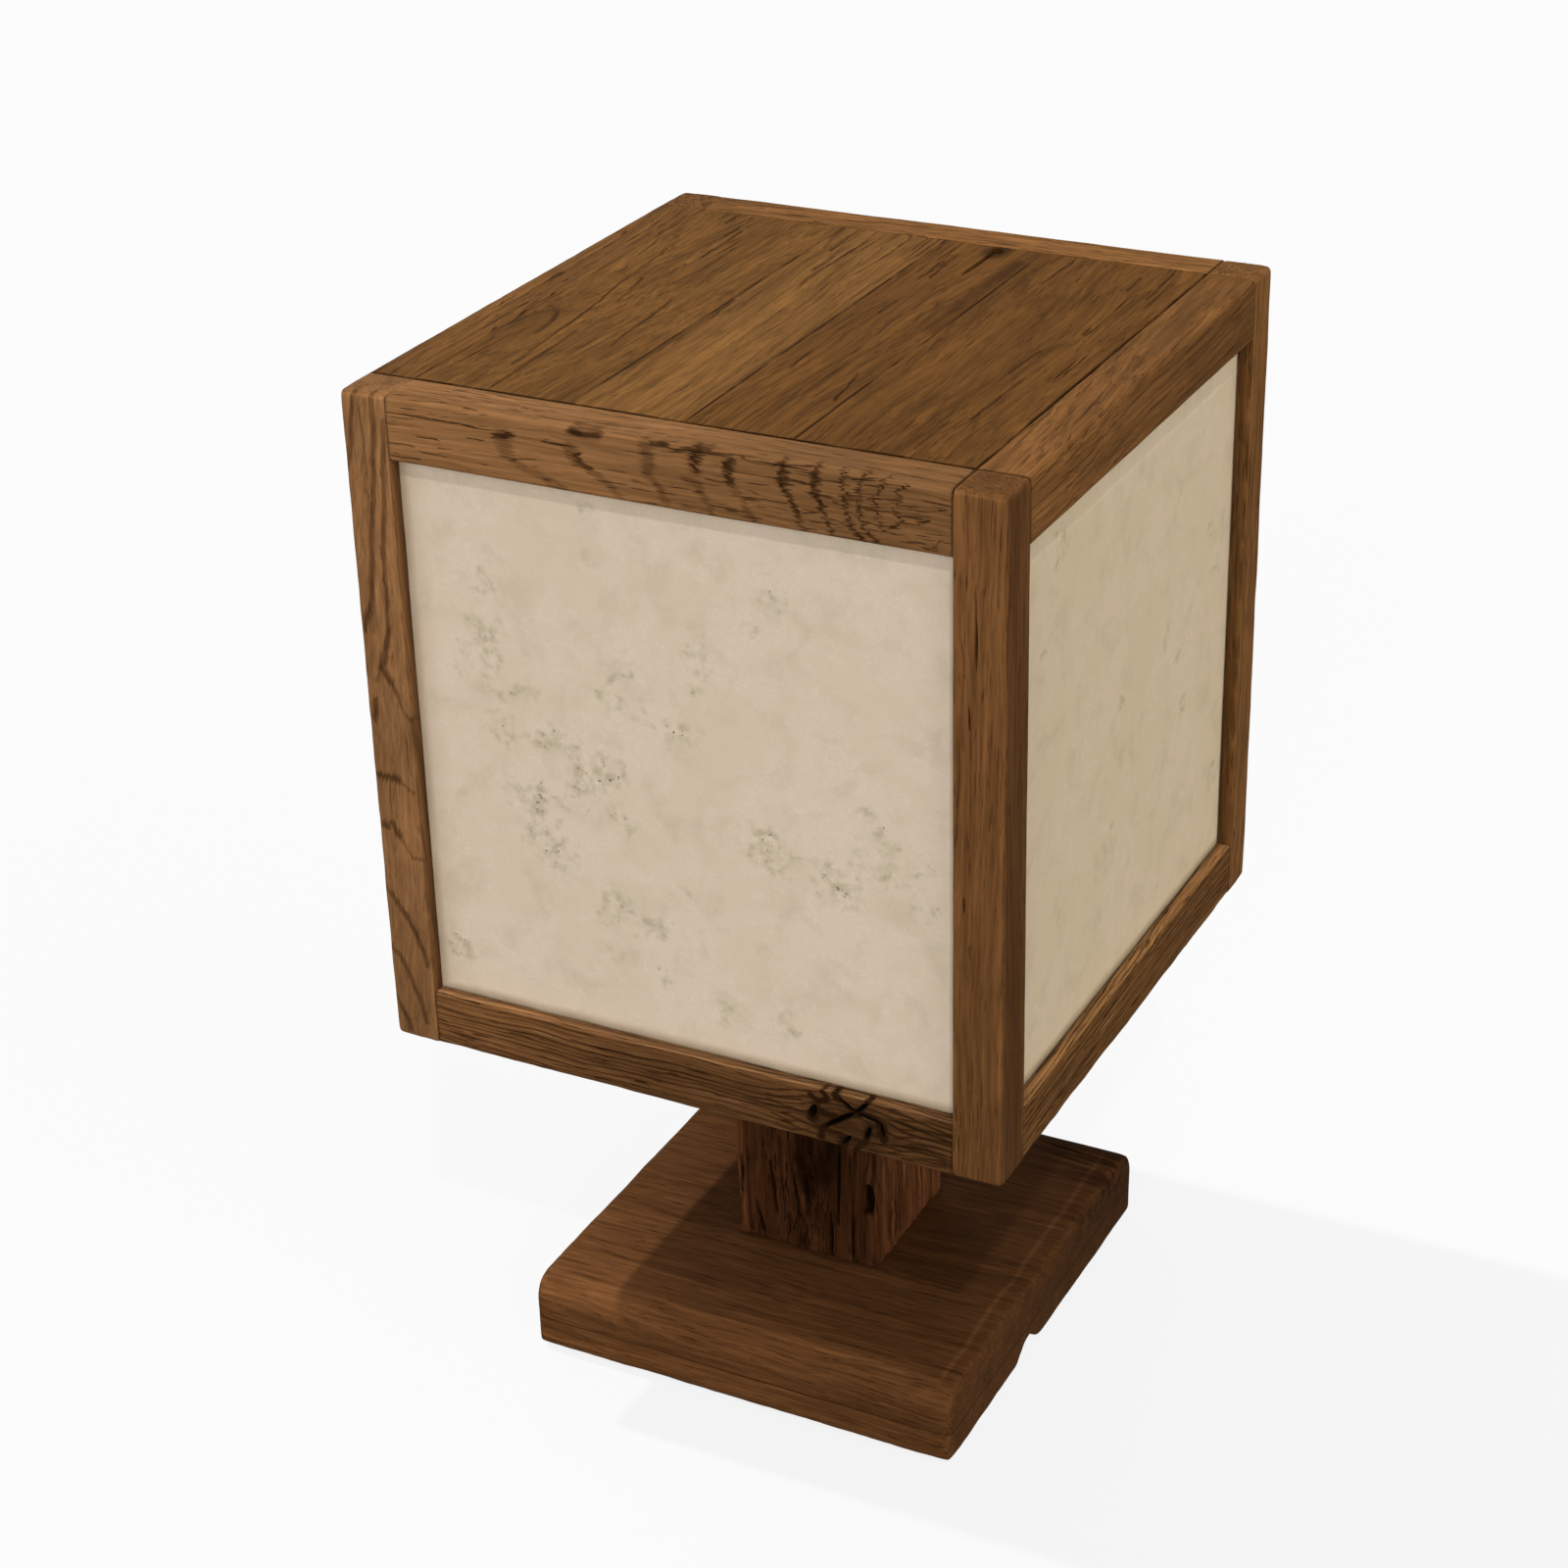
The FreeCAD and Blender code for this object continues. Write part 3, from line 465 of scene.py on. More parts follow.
RUBBED = clouds("Rubbed arrises", 0.016, 2)
RIDGES = clouds("Grain ridges", 0.0024, 1)
HOLLOWS = clouds("Hollow faces", 0.045, 1)
RIDGE_STRETCH = 12.0
SAME_POINT = 0.00001
SKIN_SMOOTH = dict(factor=0.4, iterations=1)
CORNER_SMOOTH = dict(factor=0.5, iterations=14)


def worn_copy(node, grain, voxel, rub, ridge, hollow):
    """A copy of a solid with rubbed arrises, ridges along its grain and hollow faces, as deep as given."""
    piece = bpy.data.objects.new(f"worn_{node}", frame["nodes"][node].data.copy())
    bpy.context.scene.collection.objects.link(piece)
    piece.data.materials.clear()
    edit_vertices(piece)
    bpy.ops.mesh.remove_doubles(threshold=SAME_POINT)
    bpy.ops.object.mode_set(mode="OBJECT")
    planes = joint_planes(node, grain)
    stretch_joints(piece, planes)
    apply_modifier(piece, "REMESH", mode="VOXEL", voxel_size=voxel, use_smooth_shade=True)
    apply_modifier(piece, "SMOOTH", **SKIN_SMOOTH)
    mark_corners(piece)
    apply_modifier(piece, "SMOOTH", vertex_group="corner", **CORNER_SMOOTH)
    mark_arrises(piece, node)
    press_in(piece, RUBBED, rub, group="arris")
    if ridge:
        press_in(piece, RIDGES, ridge, along=grain)
    press_in(piece, HOLLOWS, hollow)
    piece.vertex_groups.clear()
    trim_joints(piece, planes)
    return piece


# %% [markdown]
# ## Cracks
# Old oak has drying cracks, and they are real hollows. A crack is cut with a long flat cone: its base ellipse
# lies just outside the face and its tip points into the wood, so the slit tapers to its ends and to its
# bottom.

# %% Faces that carry cracks and drawn lines
POST_LOW, POST_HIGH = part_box("pedestal")
SLAB_LOW, SLAB_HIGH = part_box("base_slab")
# Each face: the axes across it, up it and into it, its place on the last one, and which way leads inwards.
FACES = {
    "front": ("X", "Z", "Y", LANTERN_LOW.y, 1),
    "right": ("Y", "Z", "X", LANTERN_HIGH.x, -1),
    "top": ("X", "Y", "Z", LANTERN_HIGH.z, -1),
    "post front": ("X", "Z", "Y", POST_LOW.y, 1),
    "post right": ("Y", "Z", "X", POST_HIGH.x, -1),
    "slab top": ("X", "Y", "Z", SLAB_HIGH.z, -1),
}


def mm(*numbers):
    return tuple(number / 1000 for number in numbers)


def on_face(face, *numbers):
    """A vector from three numbers: across a face, up it and along its depth."""
    vector = Vector()
    for axis, number in zip(FACES[face][:3], numbers):
        vector[AXIS[axis]] = number
    return vector


# %% Crack helper
CRACK_PROUD = 0.0006
CRACK_SIDES = 16


def cut_crack(piece, face, row):
    """Cuts one slit. Its row: two ends, each across and up the face, a width and a depth, in millimetres."""
    from_across, from_up, to_across, to_up, width, depth = mm(*row)
    surface, inwards = FACES[face][3:]
    start, end = on_face(face, from_across, from_up, surface), on_face(face, to_across, to_up, surface)
    inward = on_face(face, 0, 0, inwards)
    length = (end - start).length
    along = (end - start).normalized()
    across = inward.cross(along).normalized()
    bpy.ops.object.select_all(action="DESELECT")
    bpy.ops.mesh.primitive_cone_add(vertices=CRACK_SIDES, radius1=0.5, radius2=0.0, depth=1.0)
    cutter = bpy.context.object
    reach = depth + CRACK_PROUD
    middle = (start + end) / 2 + inward * (reach / 2 - CRACK_PROUD)
    columns = along * length, across * width, inward * reach
    cutter.matrix_world = Matrix.Translation(middle) @ Matrix(columns).transposed().to_4x4()
    bpy.ops.object.transform_apply(location=True, rotation=True, scale=True)
    apply_modifier(piece, "BOOLEAN", operation="DIFFERENCE", object=cutter, solver="MANIFOLD")
    bpy.data.objects.remove(cutter)


# %% Cracks of the boards
CRACKS = {
    "top_rail_front": {
        "front": [
            (-128, 492.7, -77, 492.8, 1, 4), (-55, 491.5, -36, 491.2, 0.9, 3),
            (2, 497.2, 37, 497.9, 1.1, 4), (36, 497.9, 73, 497.6, 1.1, 4), (57, 492.8, 71, 491.7, 0.9, 3),
            (83, 496.7, 99, 498.2, 1, 3), (111, 483.3, 119.5, 485.6, 0.9, 3),
        ],
    },
    "bottom_rail_front": {
        "front": [
            (83.5, 209.6, 64.5, 195.5, 3.4, 8), (80, 206.6, 89, 215.8, 2.2, 7),
            (84, 207.4, 72.5, 215.0, 3, 7), (80, 208.9, 96, 205.6, 3.2, 8),
            (93.5, 207.5, 95.6, 198.0, 2.8, 7), (89.5, 204.0, 86, 195.0, 3, 7),
            (63.4, 208.2, 60, 199.2, 4.4, 8), (80.5, 197.0, 74.5, 189.8, 3, 6),
            (-86, 209.5, -40, 206.8, 1, 3), (-8, 200.5, 38, 198.6, 1, 3),
        ],
    },
    "bottom_rail_right": {
        "right": [
            (-112, 208.8, -60, 210.4, 1.2, 4), (-46, 204.5, -8, 206.0, 1.1, 4),
            (40, 208.0, 88, 209.0, 1, 3),
        ],
    },
    "post_front_right": {
        "front": [
            (137.3, 423, 137.3, 451, 1.4, 5), (134.5, 398, 134.2, 412, 1, 4),
            (132.2, 316, 132.2, 326, 1, 4),
        ],
    },
    "lid_board_1": {
        "top": [(-121, -118, -118, -52, 0.9, 3), (-88, 60, -87, 96, 0.9, 3)],
    },
    "lid_board_2": {
        "top": [(-30, 92, -28, 124, 1.1, 3)],
    },
    "lid_board_3": {
        "top": [
            (27.6, 127, 27.2, 80, 3, 8), (25.4, 124.5, 31.5, 117.5, 6, 9), (8, 92, 9, 126, 1.2, 3),
            (13, 84, 14, 118, 1, 3),
        ],
    },
    "lid_board_4": {
        "top": [
            (118.6, 64, 118, 104, 1, 3), (107, 26, 106.5, 44, 1.4, 3), (117, -32, 116, 8, 1.5, 3),
            (108, 60, 107.5, 84, 1, 3),
        ],
    },
    "pedestal": {
        "post front": [
            (33.6, 70.5, 33.6, 90.5, 7.4, 13), (13.0, 40, 13.4, 67, 3.4, 10), (17.2, 62, 18.8, 112, 2.4, 9),
            (1.4, 66, -1.0, 91, 4, 8), (0.6, 98.2, 4.2, 99.2, 2.6, 8), (0.4, 83.2, 4.8, 85.4, 2.8, 8),
            (-22.2, 41, -27, 62, 3, 7), (-16.2, 58, -19.4, 88, 2, 6), (-34.5, 66, -34.2, 86, 2, 5),
            (25, 41, 24.8, 68, 1.8, 6),
        ],
        "post right": [(-16, 48, -14, 120, 2.6, 7), (8, 60, 10, 130, 2.2, 6), (-28, 44, -27, 84, 2.4, 6)],
    },
    "base_slab": {
        "slab top": [(64, 98, 106, 95, 2.6, 10), (70, 90, 100, 88, 1.8, 10)],
    },
}
crack_count = sum(len(rows) for faces in CRACKS.values() for rows in faces.values())
print(crack_count, "cracks in", len(CRACKS), "boards")

# %% [markdown]
# ## Shared effects for oak
# Oak shows growth rings, rows of open pores in each ring, and fine fibres. All three are worked out in three
# dimensions in the log's own frame, whose Z axis is the pith, so that a ring seen on a face runs on over the
# edge, and end grain shows arcs and dots by itself. One more group measures how far a point is from the
# arrises of a box and how deep it lies under its faces, for rubbed edges, dirt in the seams and dark cracks.
# The last one measures how far a point is from a line that is drawn on a face.


# %% Wavy log group
def wavy_log_group():
    """A point's place in a log that grew neither straight nor round, and how far it is from the pith."""
    tree, recipe, given, result = new_group(
        "Wavy log", {"Log place": VECTOR, "Warp": FLOAT, "Seed": FLOAT}, {"Place": VECTOR, "Radius": FLOAT})
    seed = recipe.join(given["Seed"], given["Seed"], given["Seed"])
    place = recipe.vector("ADD", given["Log place"], seed)
    shifts = []
    for other in ((0.0, 0.0, 0.0), (31.7, 11.3, 5.9)):
        slow = recipe.vector("ADD", recipe.vector("MULTIPLY", place, (26, 26, 7)), other)
        quick = recipe.vector("ADD", recipe.vector("MULTIPLY", place, (80, 80, 32)), other)
        bends = recipe.plus(recipe.noise(slow, detail=1), recipe.times(recipe.noise(quick, detail=1), 0.24))
        shifts.append(recipe.times(recipe.minus(bends, 0.62), given["Warp"]))
    wavy = recipe.vector("ADD", given["Log place"], recipe.join(*shifts, 0.0))
    recipe.put(result["Place"], wavy)
    recipe.put(result["Radius"], recipe.vector("LENGTH", recipe.vector("MULTIPLY", wavy, (1, 1, 0))))
    return tree


WAVY_LOG = wavy_log_group()


# %% Ring group
def ring_group():
    """A dark line at the start of each year's ring, some years stronger than others."""
    tree, recipe, given, result = new_group(
        "Growth rings",
        {"Radius": FLOAT, "Log place": VECTOR, "Ring width": FLOAT, "Jag": FLOAT, "Seed": FLOAT},
        {"Band": FLOAT},
    )
    seed = recipe.join(given["Seed"], given["Seed"], given["Seed"])
    jag = recipe.stretched(recipe.vector("ADD", given["Log place"], seed), (700, 700, 55), detail=2)
    radius = recipe.plus(given["Radius"], recipe.times(recipe.centred(jag), given["Jag"]))
    turns = recipe.math("DIVIDE", radius, given["Ring width"])
    lazy = recipe.noise(recipe.join(recipe.times(turns, 0.35), given["Seed"], 0.0), detail=1)
    turns = recipe.plus(turns, recipe.times(lazy, 1.6))
    share = recipe.math("FRACT", turns)
    fade = recipe.math("POWER", recipe.minus(1.0, share), 4.5)
    band = recipe.times(fade, recipe.step(share, 0.0, 0.10))
    year = recipe.join(recipe.math("FLOOR", turns), given["Seed"], 3.0)
    strength = recipe.spread(recipe.noise(year, scale=1.7, detail=0), 0.1, 1.9)
    recipe.put(result["Band"], recipe.times(band, strength))
    return tree


GROWTH_RINGS = ring_group()


# %% Pore and fibre group
def pore_group():
    """Short dark pores that crowd in patches and in the bands, fine fibres, and broader streaks."""
    tree, recipe, given, result = new_group(
        "Oak pores",
        {"Log place": VECTOR, "Band": FLOAT, "Gather": FLOAT, "Sparse": FLOAT, "Seed": FLOAT},
        {"Pores": FLOAT, "Fibre": FLOAT, "Streak": FLOAT},
    )
    place = recipe.vector("ADD", given["Log place"], recipe.join(given["Seed"], 0.0, given["Seed"]))
    crowd = recipe.centred(recipe.stretched(place, (34, 34, 8), detail=1))
    limit = recipe.minus(given["Sparse"], recipe.times(given["Band"], given["Gather"]),
                         recipe.times(crowd, 0.20))
    short = recipe.minus(recipe.stretched(place, (1150, 1150, 62), detail=1), limit)
    long = recipe.minus(recipe.stretched(place, (760, 760, 22), detail=2), recipe.plus(limit, 0.02))
    recipe.put(result["Pores"], recipe.step(recipe.most(short, long), 0.0, 0.06))
    recipe.put(result["Fibre"], recipe.stretched(place, (640, 640, 24), detail=3, roughness=0.65))
    recipe.put(result["Streak"], recipe.stretched(place, (115, 115, 8), detail=3, roughness=0.55))
    return tree


OAK_PORES = pore_group()


# %% Arris and hollow group
def arris_group():
    """The distance to a box's nearest edge, the depth under its faces, and the distance to its joints."""
    tree, recipe, given, result = new_group(
        "Arris and hollow",
        {"Place": VECTOR, "Centre": VECTOR, "Half size": VECTOR, "Open sides": VECTOR},
        {"To arris": FLOAT, "Depth": FLOAT, "To joint": FLOAT},
    )
    offset = recipe.vector("ABSOLUTE", recipe.vector("SUBTRACT", given["Place"], given["Centre"]))
    inside = recipe.vector("SUBTRACT", given["Half size"], offset)
    x, y, z = recipe.split(inside)
    low, high = recipe.least(x, y), recipe.most(x, y)
    recipe.put(result["Depth"], recipe.least(low, z))
    to_joints = recipe.split(recipe.vector("ADD", inside, given["Open sides"]))
    recipe.put(result["To joint"], recipe.least(*to_joints))
    recipe.put(result["To arris"], recipe.most(low, recipe.least(high, z)))
    return tree


ARRIS = arris_group()


# %% Grain line group
def grain_line_group():
    """How far a point is from one straight stretch of a drawn line."""
    tree, recipe, given, result = new_group(
        "Grain line", {"Place": VECTOR, "From": VECTOR, "To": VECTOR}, {"Away": FLOAT})
    stretch = recipe.vector("SUBTRACT", given["To"], given["From"])
    offset = recipe.vector("SUBTRACT", given["Place"], given["From"])
    along = recipe.math("DIVIDE", recipe.vector("DOT_PRODUCT", offset, stretch),
                        recipe.vector("DOT_PRODUCT", stretch, stretch))
    share = recipe.least(recipe.most(along, 0.0), 1.0)
    nearest = recipe.vector("MULTIPLY", stretch, recipe.join(share, share, share))
    recipe.put(result["Away"], recipe.vector("DISTANCE", offset, nearest))
    return tree


GRAIN_LINE = grain_line_group()
print("node groups:", [tree.name for tree in (WAVY_LOG, GROWTH_RINGS, OAK_PORES, ARRIS, GRAIN_LINE)])

# %% [markdown]
# ## Figures of single boards
# A few boards have a figure of their own, which no straight log gives: jagged arcs and cracks round a whorl
# in the front top rail, long lines that meet in arches on the left post, a star-shaped knot in the front
# bottom rail, dark slits in the lid, a knot in the post under the lantern, and a glue line round the slab.
# Such lines are drawn on a face as rows of points, in millimetres. The point that is tested is first moved
# to and fro along the grain by noise, so that a line across the grain gets teeth and a line along it stays
# smooth. A figure hands back what it changes: a band in place of the rings, lines and dark marks over them, a
# bulge that shifts them, or a level of the colour. On the post under the lantern and on the slab, that level
# is partly painted light and shade.


# %% Knot helpers
def knot_shape(recipe, across, along, half_across, half_along, rough=0.5):
    """0 at a knot's middle and 1 at its uneven outline."""
    flat = recipe.join(recipe.math("DIVIDE", across, half_across),
                       recipe.math("DIVIDE", along, half_along), 0.0)
    uneven = recipe.centred(recipe.noise(flat, scale=1.6, detail=3))
    return recipe.plus(recipe.vector("LENGTH", flat), recipe.times(uneven, rough))


def parting(recipe, across, along, width, length, amount):
    """A shift of the rings that makes the grain flow round a knot."""
    near = recipe.plus(recipe.math("POWER", recipe.math("DIVIDE", across, width), 2.0),
                       recipe.math("POWER", recipe.math("DIVIDE", along, length), 2.0))
    return recipe.times(across, recipe.math("EXPONENT", recipe.times(near, -1.0)), amount)


def knot_offset(recipe, place, centre, axes):
    """How far a point is from a knot's middle, along two axes."""
    offsets = dict(zip("XYZ", recipe.split(recipe.vector("SUBTRACT", place, centre))))
    return [offsets[axis] for axis in axes]


# %% Drawn lines
WAVE = 0.0018
LINE_BLUR = (0.0011, 0.0003)
FACE_SKIN = (0.009, 0.004)


def drawn_place(recipe, place, face, grain, teeth, fineness=800):
    """The point on a face, moved along the grain for teeth and a little across it, and 1 near that face."""
    axes = dict(zip("XYZ", recipe.split(place)))
    across, up, depth, surface = FACES[face][:4]
    scales = tuple(90 if axis == grain else fineness for axis in "XYZ")
    saw = recipe.times(recipe.centred(recipe.stretched(place, scales, detail=2)), teeth)
    wave = recipe.times(recipe.centred(recipe.noise(place, scale=110, detail=1)), WAVE)
    moved = [recipe.plus(axes[axis], saw if axis == grain else wave) for axis in (across, up)]
    return recipe.join(*moved, 0.0), recipe.step(recipe.distance(axes[depth], surface), *FACE_SKIN)


def drawn_lines(recipe, flat, sets, blur):
    """A mask of all lines, set by set: half a width in mm, a strength, and rows of points."""
    mask = 0.0
    for width, strength, rows in sets:
        nearest = 1.0
        for row in rows:
            points = [mm(*point, 0) for point in zip(row[0::2], row[1::2])]
            for start, end in zip(points, points[1:]):
                away = recipe.group(GRAIN_LINE, {"Place": flat, "From": start, "To": end})["Away"]
                nearest = recipe.least(nearest, away)
        line = recipe.step(nearest, width * blur[0], width * blur[1])
        mask = recipe.most(mask, recipe.times(line, strength))
    return mask


def drawn_mark(recipe, place, drawn, sets, blur=LINE_BLUR, scale=90, low=0.1, high=1.6):
    """The lines of one table near their face, with a strength that comes and goes from low to high."""
    flat, near = drawn
    mask = recipe.times(drawn_lines(recipe, flat, sets, blur), near)
    return recipe.times(mask, recipe.spread(recipe.noise(place, scale=scale, detail=2), low, high))


# %% Whorl of the front top rail
WHORL_SOFT = [
    (4.4, 0.75, [(-72, 489, -70, 485), (-41, 490, -39, 487), (-5, 496, -4.5, 486), (16.5, 497, 16.5, 491)]),
    (3.0, 0.90, [
        (-74, 491, -68.5, 491.5), (-38, 498, -27, 498), (-37.5, 489, -37, 485), (31.5, 496, 31.5, 488),
        (55.5, 497.5, 55, 490), (69.5, 496, 69, 489),
    ]),
    (2.3, 0.58, [
        (-70, 484, -62, 478.5, -52, 475, -43, 472), (-34, 484, -30, 481.5, -23, 478, -17, 473),
        (-4, 484, -1, 481, 3, 474), (12, 485.5, 18, 484), (17, 484, 21, 478, 23, 474),
        (33, 486, 37, 482, 39, 477, 42, 473),
    ]),
    (1.5, 0.9, [
        (55.5, 499, 55, 494, 54.5, 490, 57, 486.5, 59.5, 483, 61, 479.5, 63.5, 472.5),
        (70, 499.5, 69.5, 495, 69, 491, 70, 487, 71.5, 483, 73.5, 478.5, 76.5, 473),
    ]),
]
WHORL_DARK = [
    (1.5, 0.85, [
        (-75, 490, -70, 490.5, -67, 492.5), (-40, 497.6, -33, 497.4, -26, 497.8),
        (-37, 488, -36, 485, -32, 483.5), (-3, 497.8, 4, 498), (17, 498.5, 23, 498.5), (16.5, 496, 17, 490),
        (32, 496, 31.2, 490, 33, 486.5),
    ]),
    (1.15, 0.9, [
        (55.5, 498.5, 55, 494, 54.5, 490, 57, 486.5, 59.5, 483, 61, 479.5),
        (70, 498, 69.5, 495, 69, 491, 70, 487, 72, 483),
        (81.5, 499, 81.5, 494, 82, 489, 82.5, 484, 84, 479, 86.5, 475, 90, 472),
    ]),
    (0.9, 0.85, [
        (90.5, 499.5, 88.5, 496, 87.5, 491, 87.5, 486, 88.5, 480, 91, 476, 96, 472.5),
        (100.5, 499, 97, 495.5, 95.5, 491, 95, 486, 96, 481, 98.5, 478),
        (108, 498, 105, 495, 103.5, 491, 103, 486.5, 105, 484, 104.5, 480.5, 101, 479.5),
    ]),
    (0.45, 0.75, [
        (112, 490.5, 112.5, 483, 119, 485.5), (121, 489, 124, 491), (115, 473, 120, 474.5, 122, 478),
        (-128, 492.7, -110, 493.2, -90, 493, -77, 492.5), (-54, 491.5, -44, 491, -36, 491.3),
        (3, 497.3, 14, 497.4, 34, 499, 41, 497.3, 49, 497, 57, 498.2, 72, 499),
        (57, 492.8, 64, 491.6, 70, 492.2), (72, 494.5, 82, 495), (84, 496.8, 98, 499),
        (88, 488.5, 93, 490, 104, 491.5), (76, 486.5, 82, 484.8), (86, 486, 94, 486.3),
        (38, 482, 46, 482.4, 57, 482.6), (63, 479.3, 72, 480.8), (74, 479, 80, 478.5, 87, 475.5),
        (40, 488.2, 50, 488.8), (20, 487.3, 30, 487), (22, 476.2, 36, 476), (-88, 487.5, -80, 487.2),
        (-64, 482.5, -56, 482.8), (-113, 484, -103, 484.5), (-104, 481, -97, 481.5),
        (-112, 477.5, -100, 477.4), (-127, 479.6, -115, 479.4), (-126, 473.8, -113, 474),
    ]),
]
WHORL_BLUR = (0.0010, 0.0005)


def whorl(recipe, place):
    plain = drawn_place(recipe, place, "front", "X", 0.0085)
    toothed = drawn_place(recipe, place, "front", "X", 0.0120, fineness=1250)
    return {
        "band": drawn_mark(recipe, place, plain, WHORL_SOFT, low=0.45, high=1.15),
        "dark": drawn_mark(recipe, place, toothed, WHORL_DARK, WHORL_BLUR, scale=160, low=0.3, high=1.7),
    }


# %% Lines of the left post
LEFT_POST_SOFT = [
    (1.8, 0.90, [
        (-142, 499, -144.5, 485, -146, 475, -149, 464),
        (-133.5, 499, -134, 480, -135.5, 462, -138, 445, -139.5, 430, -141, 415, -143.5, 402, -148, 391),
        (-129, 488, -130.5, 465, -132, 448, -134, 430, -134.5, 410, -135, 392, -137.5, 384, -139.5, 375),
        (-149.5, 266, -144, 260, -139, 253, -135, 246, -131, 236, -130, 229),
        (-149.5, 236, -144.5, 231.5, -141, 225, -138, 217, -135, 208, -133, 199),
        (-149, 208.5, -145.5, 204, -143, 198, -142, 192), (-145, 359, -146, 349),
    ]),
    (2.6, 0.85, [
        (-143.5, 401, -148, 392), (-138.5, 380, -140, 374, -136, 369), (-147, 473, -149, 466),
        (-149.5, 321, -141, 321.8, -137, 321.5), (-149, 297, -142, 298.5, -139, 294),
    ]),
    (0.6, 0.60, [(-140, 495, -139, 478, -139, 462), (-141.5, 320, -142, 300), (-131, 345, -130, 325)]),
]
LEFT_POST_DARK = [
    (1.3, 0.50, [
        (-149.5, 321, -146, 321.5, -141, 321.8, -137, 321.5, -134, 318.8, -129, 317.5),
        (-149, 296.5, -145, 297, -142, 298.5, -139, 294, -136, 288.5, -132.5, 284, -128, 283),
        (-143.5, 368, -140, 374, -136, 368, -133, 363, -131, 355, -127, 351),
    ]),
    (0.7, 0.35, [(-139.5, 430, -141, 415, -143.5, 402, -147, 393), (-133, 445, -134.5, 425, -135, 395)]),
]


def left_post_figure(recipe, place):
    drawn = drawn_place(recipe, place, "front", "Z", 0.0075)
    return {"band": drawn_mark(recipe, place, drawn, LEFT_POST_SOFT, low=0.6, high=1.3),
            "dark": drawn_mark(recipe, place, drawn, LEFT_POST_DARK, scale=140)}


# %% Star knot of the front bottom rail
STAR = [
    (4.4, 0.95, [
        (94, 205, 94.5, 201), (77, 193.5, 75.5, 190), (81.5, 208.5, 83, 209), (62.5, 204, 61.5, 201),
    ]),
    (3.2, 0.95, [(63, 206, 61.5, 200.5), (88.5, 203, 87.5, 198), (74.5, 213.5, 73, 214.5)]),
    (2.9, 0.98, [
        (65.5, 192, 66, 196.5, 69, 199.5, 74, 203.5, 79, 206.8, 82, 208.8),
        (82, 208.5, 88, 208.7, 93, 206.5, 95, 203, 95.5, 198.5), (87.5, 198, 86, 194),
        (63, 206, 68, 204.5, 73, 204.5), (80, 207.5, 85, 209.5),
    ]),
    (2.2, 0.95, [
        (82, 208.8, 78, 211, 73.5, 214.6), (81, 207, 85, 211, 88.5, 216), (85.5, 194.5, 82, 190),
        (60.5, 212, 65, 209, 69, 212, 67, 214.5),
    ]),
    (0.9, 0.60, [
        (98, 192.5, 108, 196, 118, 197.5, 127, 196.5), (99, 196, 109, 200, 119, 201.5, 127, 201),
        (100, 200.5, 110, 204, 120, 205, 127, 205.5), (103, 206, 112, 208, 127, 208.5),
        (104, 191.5, 114, 193.5, 127, 193), (56, 208, 47, 206.5, 40, 207), (57, 203, 48, 203, 40, 204.5),
        (58, 198, 50, 196, 42, 197.5), (59, 194, 52, 192, 44, 193), (104, 211, 116, 212.5, 127, 212),
    ]),
]
STAR_CENTRE = mm(79, -150, 203)


def star_knot(recipe, place):
    x, z = knot_offset(recipe, place, STAR_CENTRE, "XZ")
    drawn = drawn_place(recipe, place, "front", "X", 0.0030)
    arms = drawn_mark(recipe, place, drawn, STAR, scale=150, low=0.8, high=1.4)
    outline = knot_shape(recipe, x, z, 0.0210, 0.0135)
    clouded = recipe.spread(recipe.noise(place, scale=170, detail=3), 0.20, 1.0)
    body = recipe.times(recipe.step(outline, 1.35, 0.65), drawn[1], clouded)
    return {"bulge": parting(recipe, z, x, 0.013, 0.030, 0.75), "dark": recipe.most(arms, body)}


# %% Slits of the lid boards
LID_SOFT = {
    1: [
        (1.6, 0.9, [(-127, -56, -124, -42, -118, -28, -113, -33, -110, -45, -109, -58)]),
        (1.1, 0.9, [
            (-113, 66, -111, 45, -109, 15, -106, -5, -103, -28, -101, -60, -98, -96), (-97, 122, -97, 88),
            (-93, 102, -92, 60), (-94, -50, -92, -124), (-76, 2, -74, -20, -73, -45, -71, -60),
            (-103, 25, -97, -8), (-106, 128, -106, 112),
        ]),
    ],
    2: [
        (2.2, 0.8, [(-51, 12, -50, -12, -51, -84), (-51, 128, -51, 108)]),
        (1.1, 0.9, [
            (-33, 112, -34, 60, -33, 44), (-44, 128, -42, 92), (-17, 128, -15, 100, -17, 66),
            (-37, 86, -37, 62),
        ]),
    ],
    3: [
        (6.0, 0.6, [(45, 108, 44, 70, 46, 10)]),
        (1.1, 0.9, [
            (12, 98, 12, 72), (15, 94, 16, 74), (15, 42, 15, 22), (10, -34, 11, -56), (40, -50, 45, -82),
        ]),
    ],
    4: [
        (1.1, 0.9, [
            (102, 110, 103, 92), (113, 126, 115, 84), (98, 4, 97, -26), (105, -30, 104, -80),
            (97, -84, 97, -118), (66, 120, 65, 84),
        ]),
    ],
}
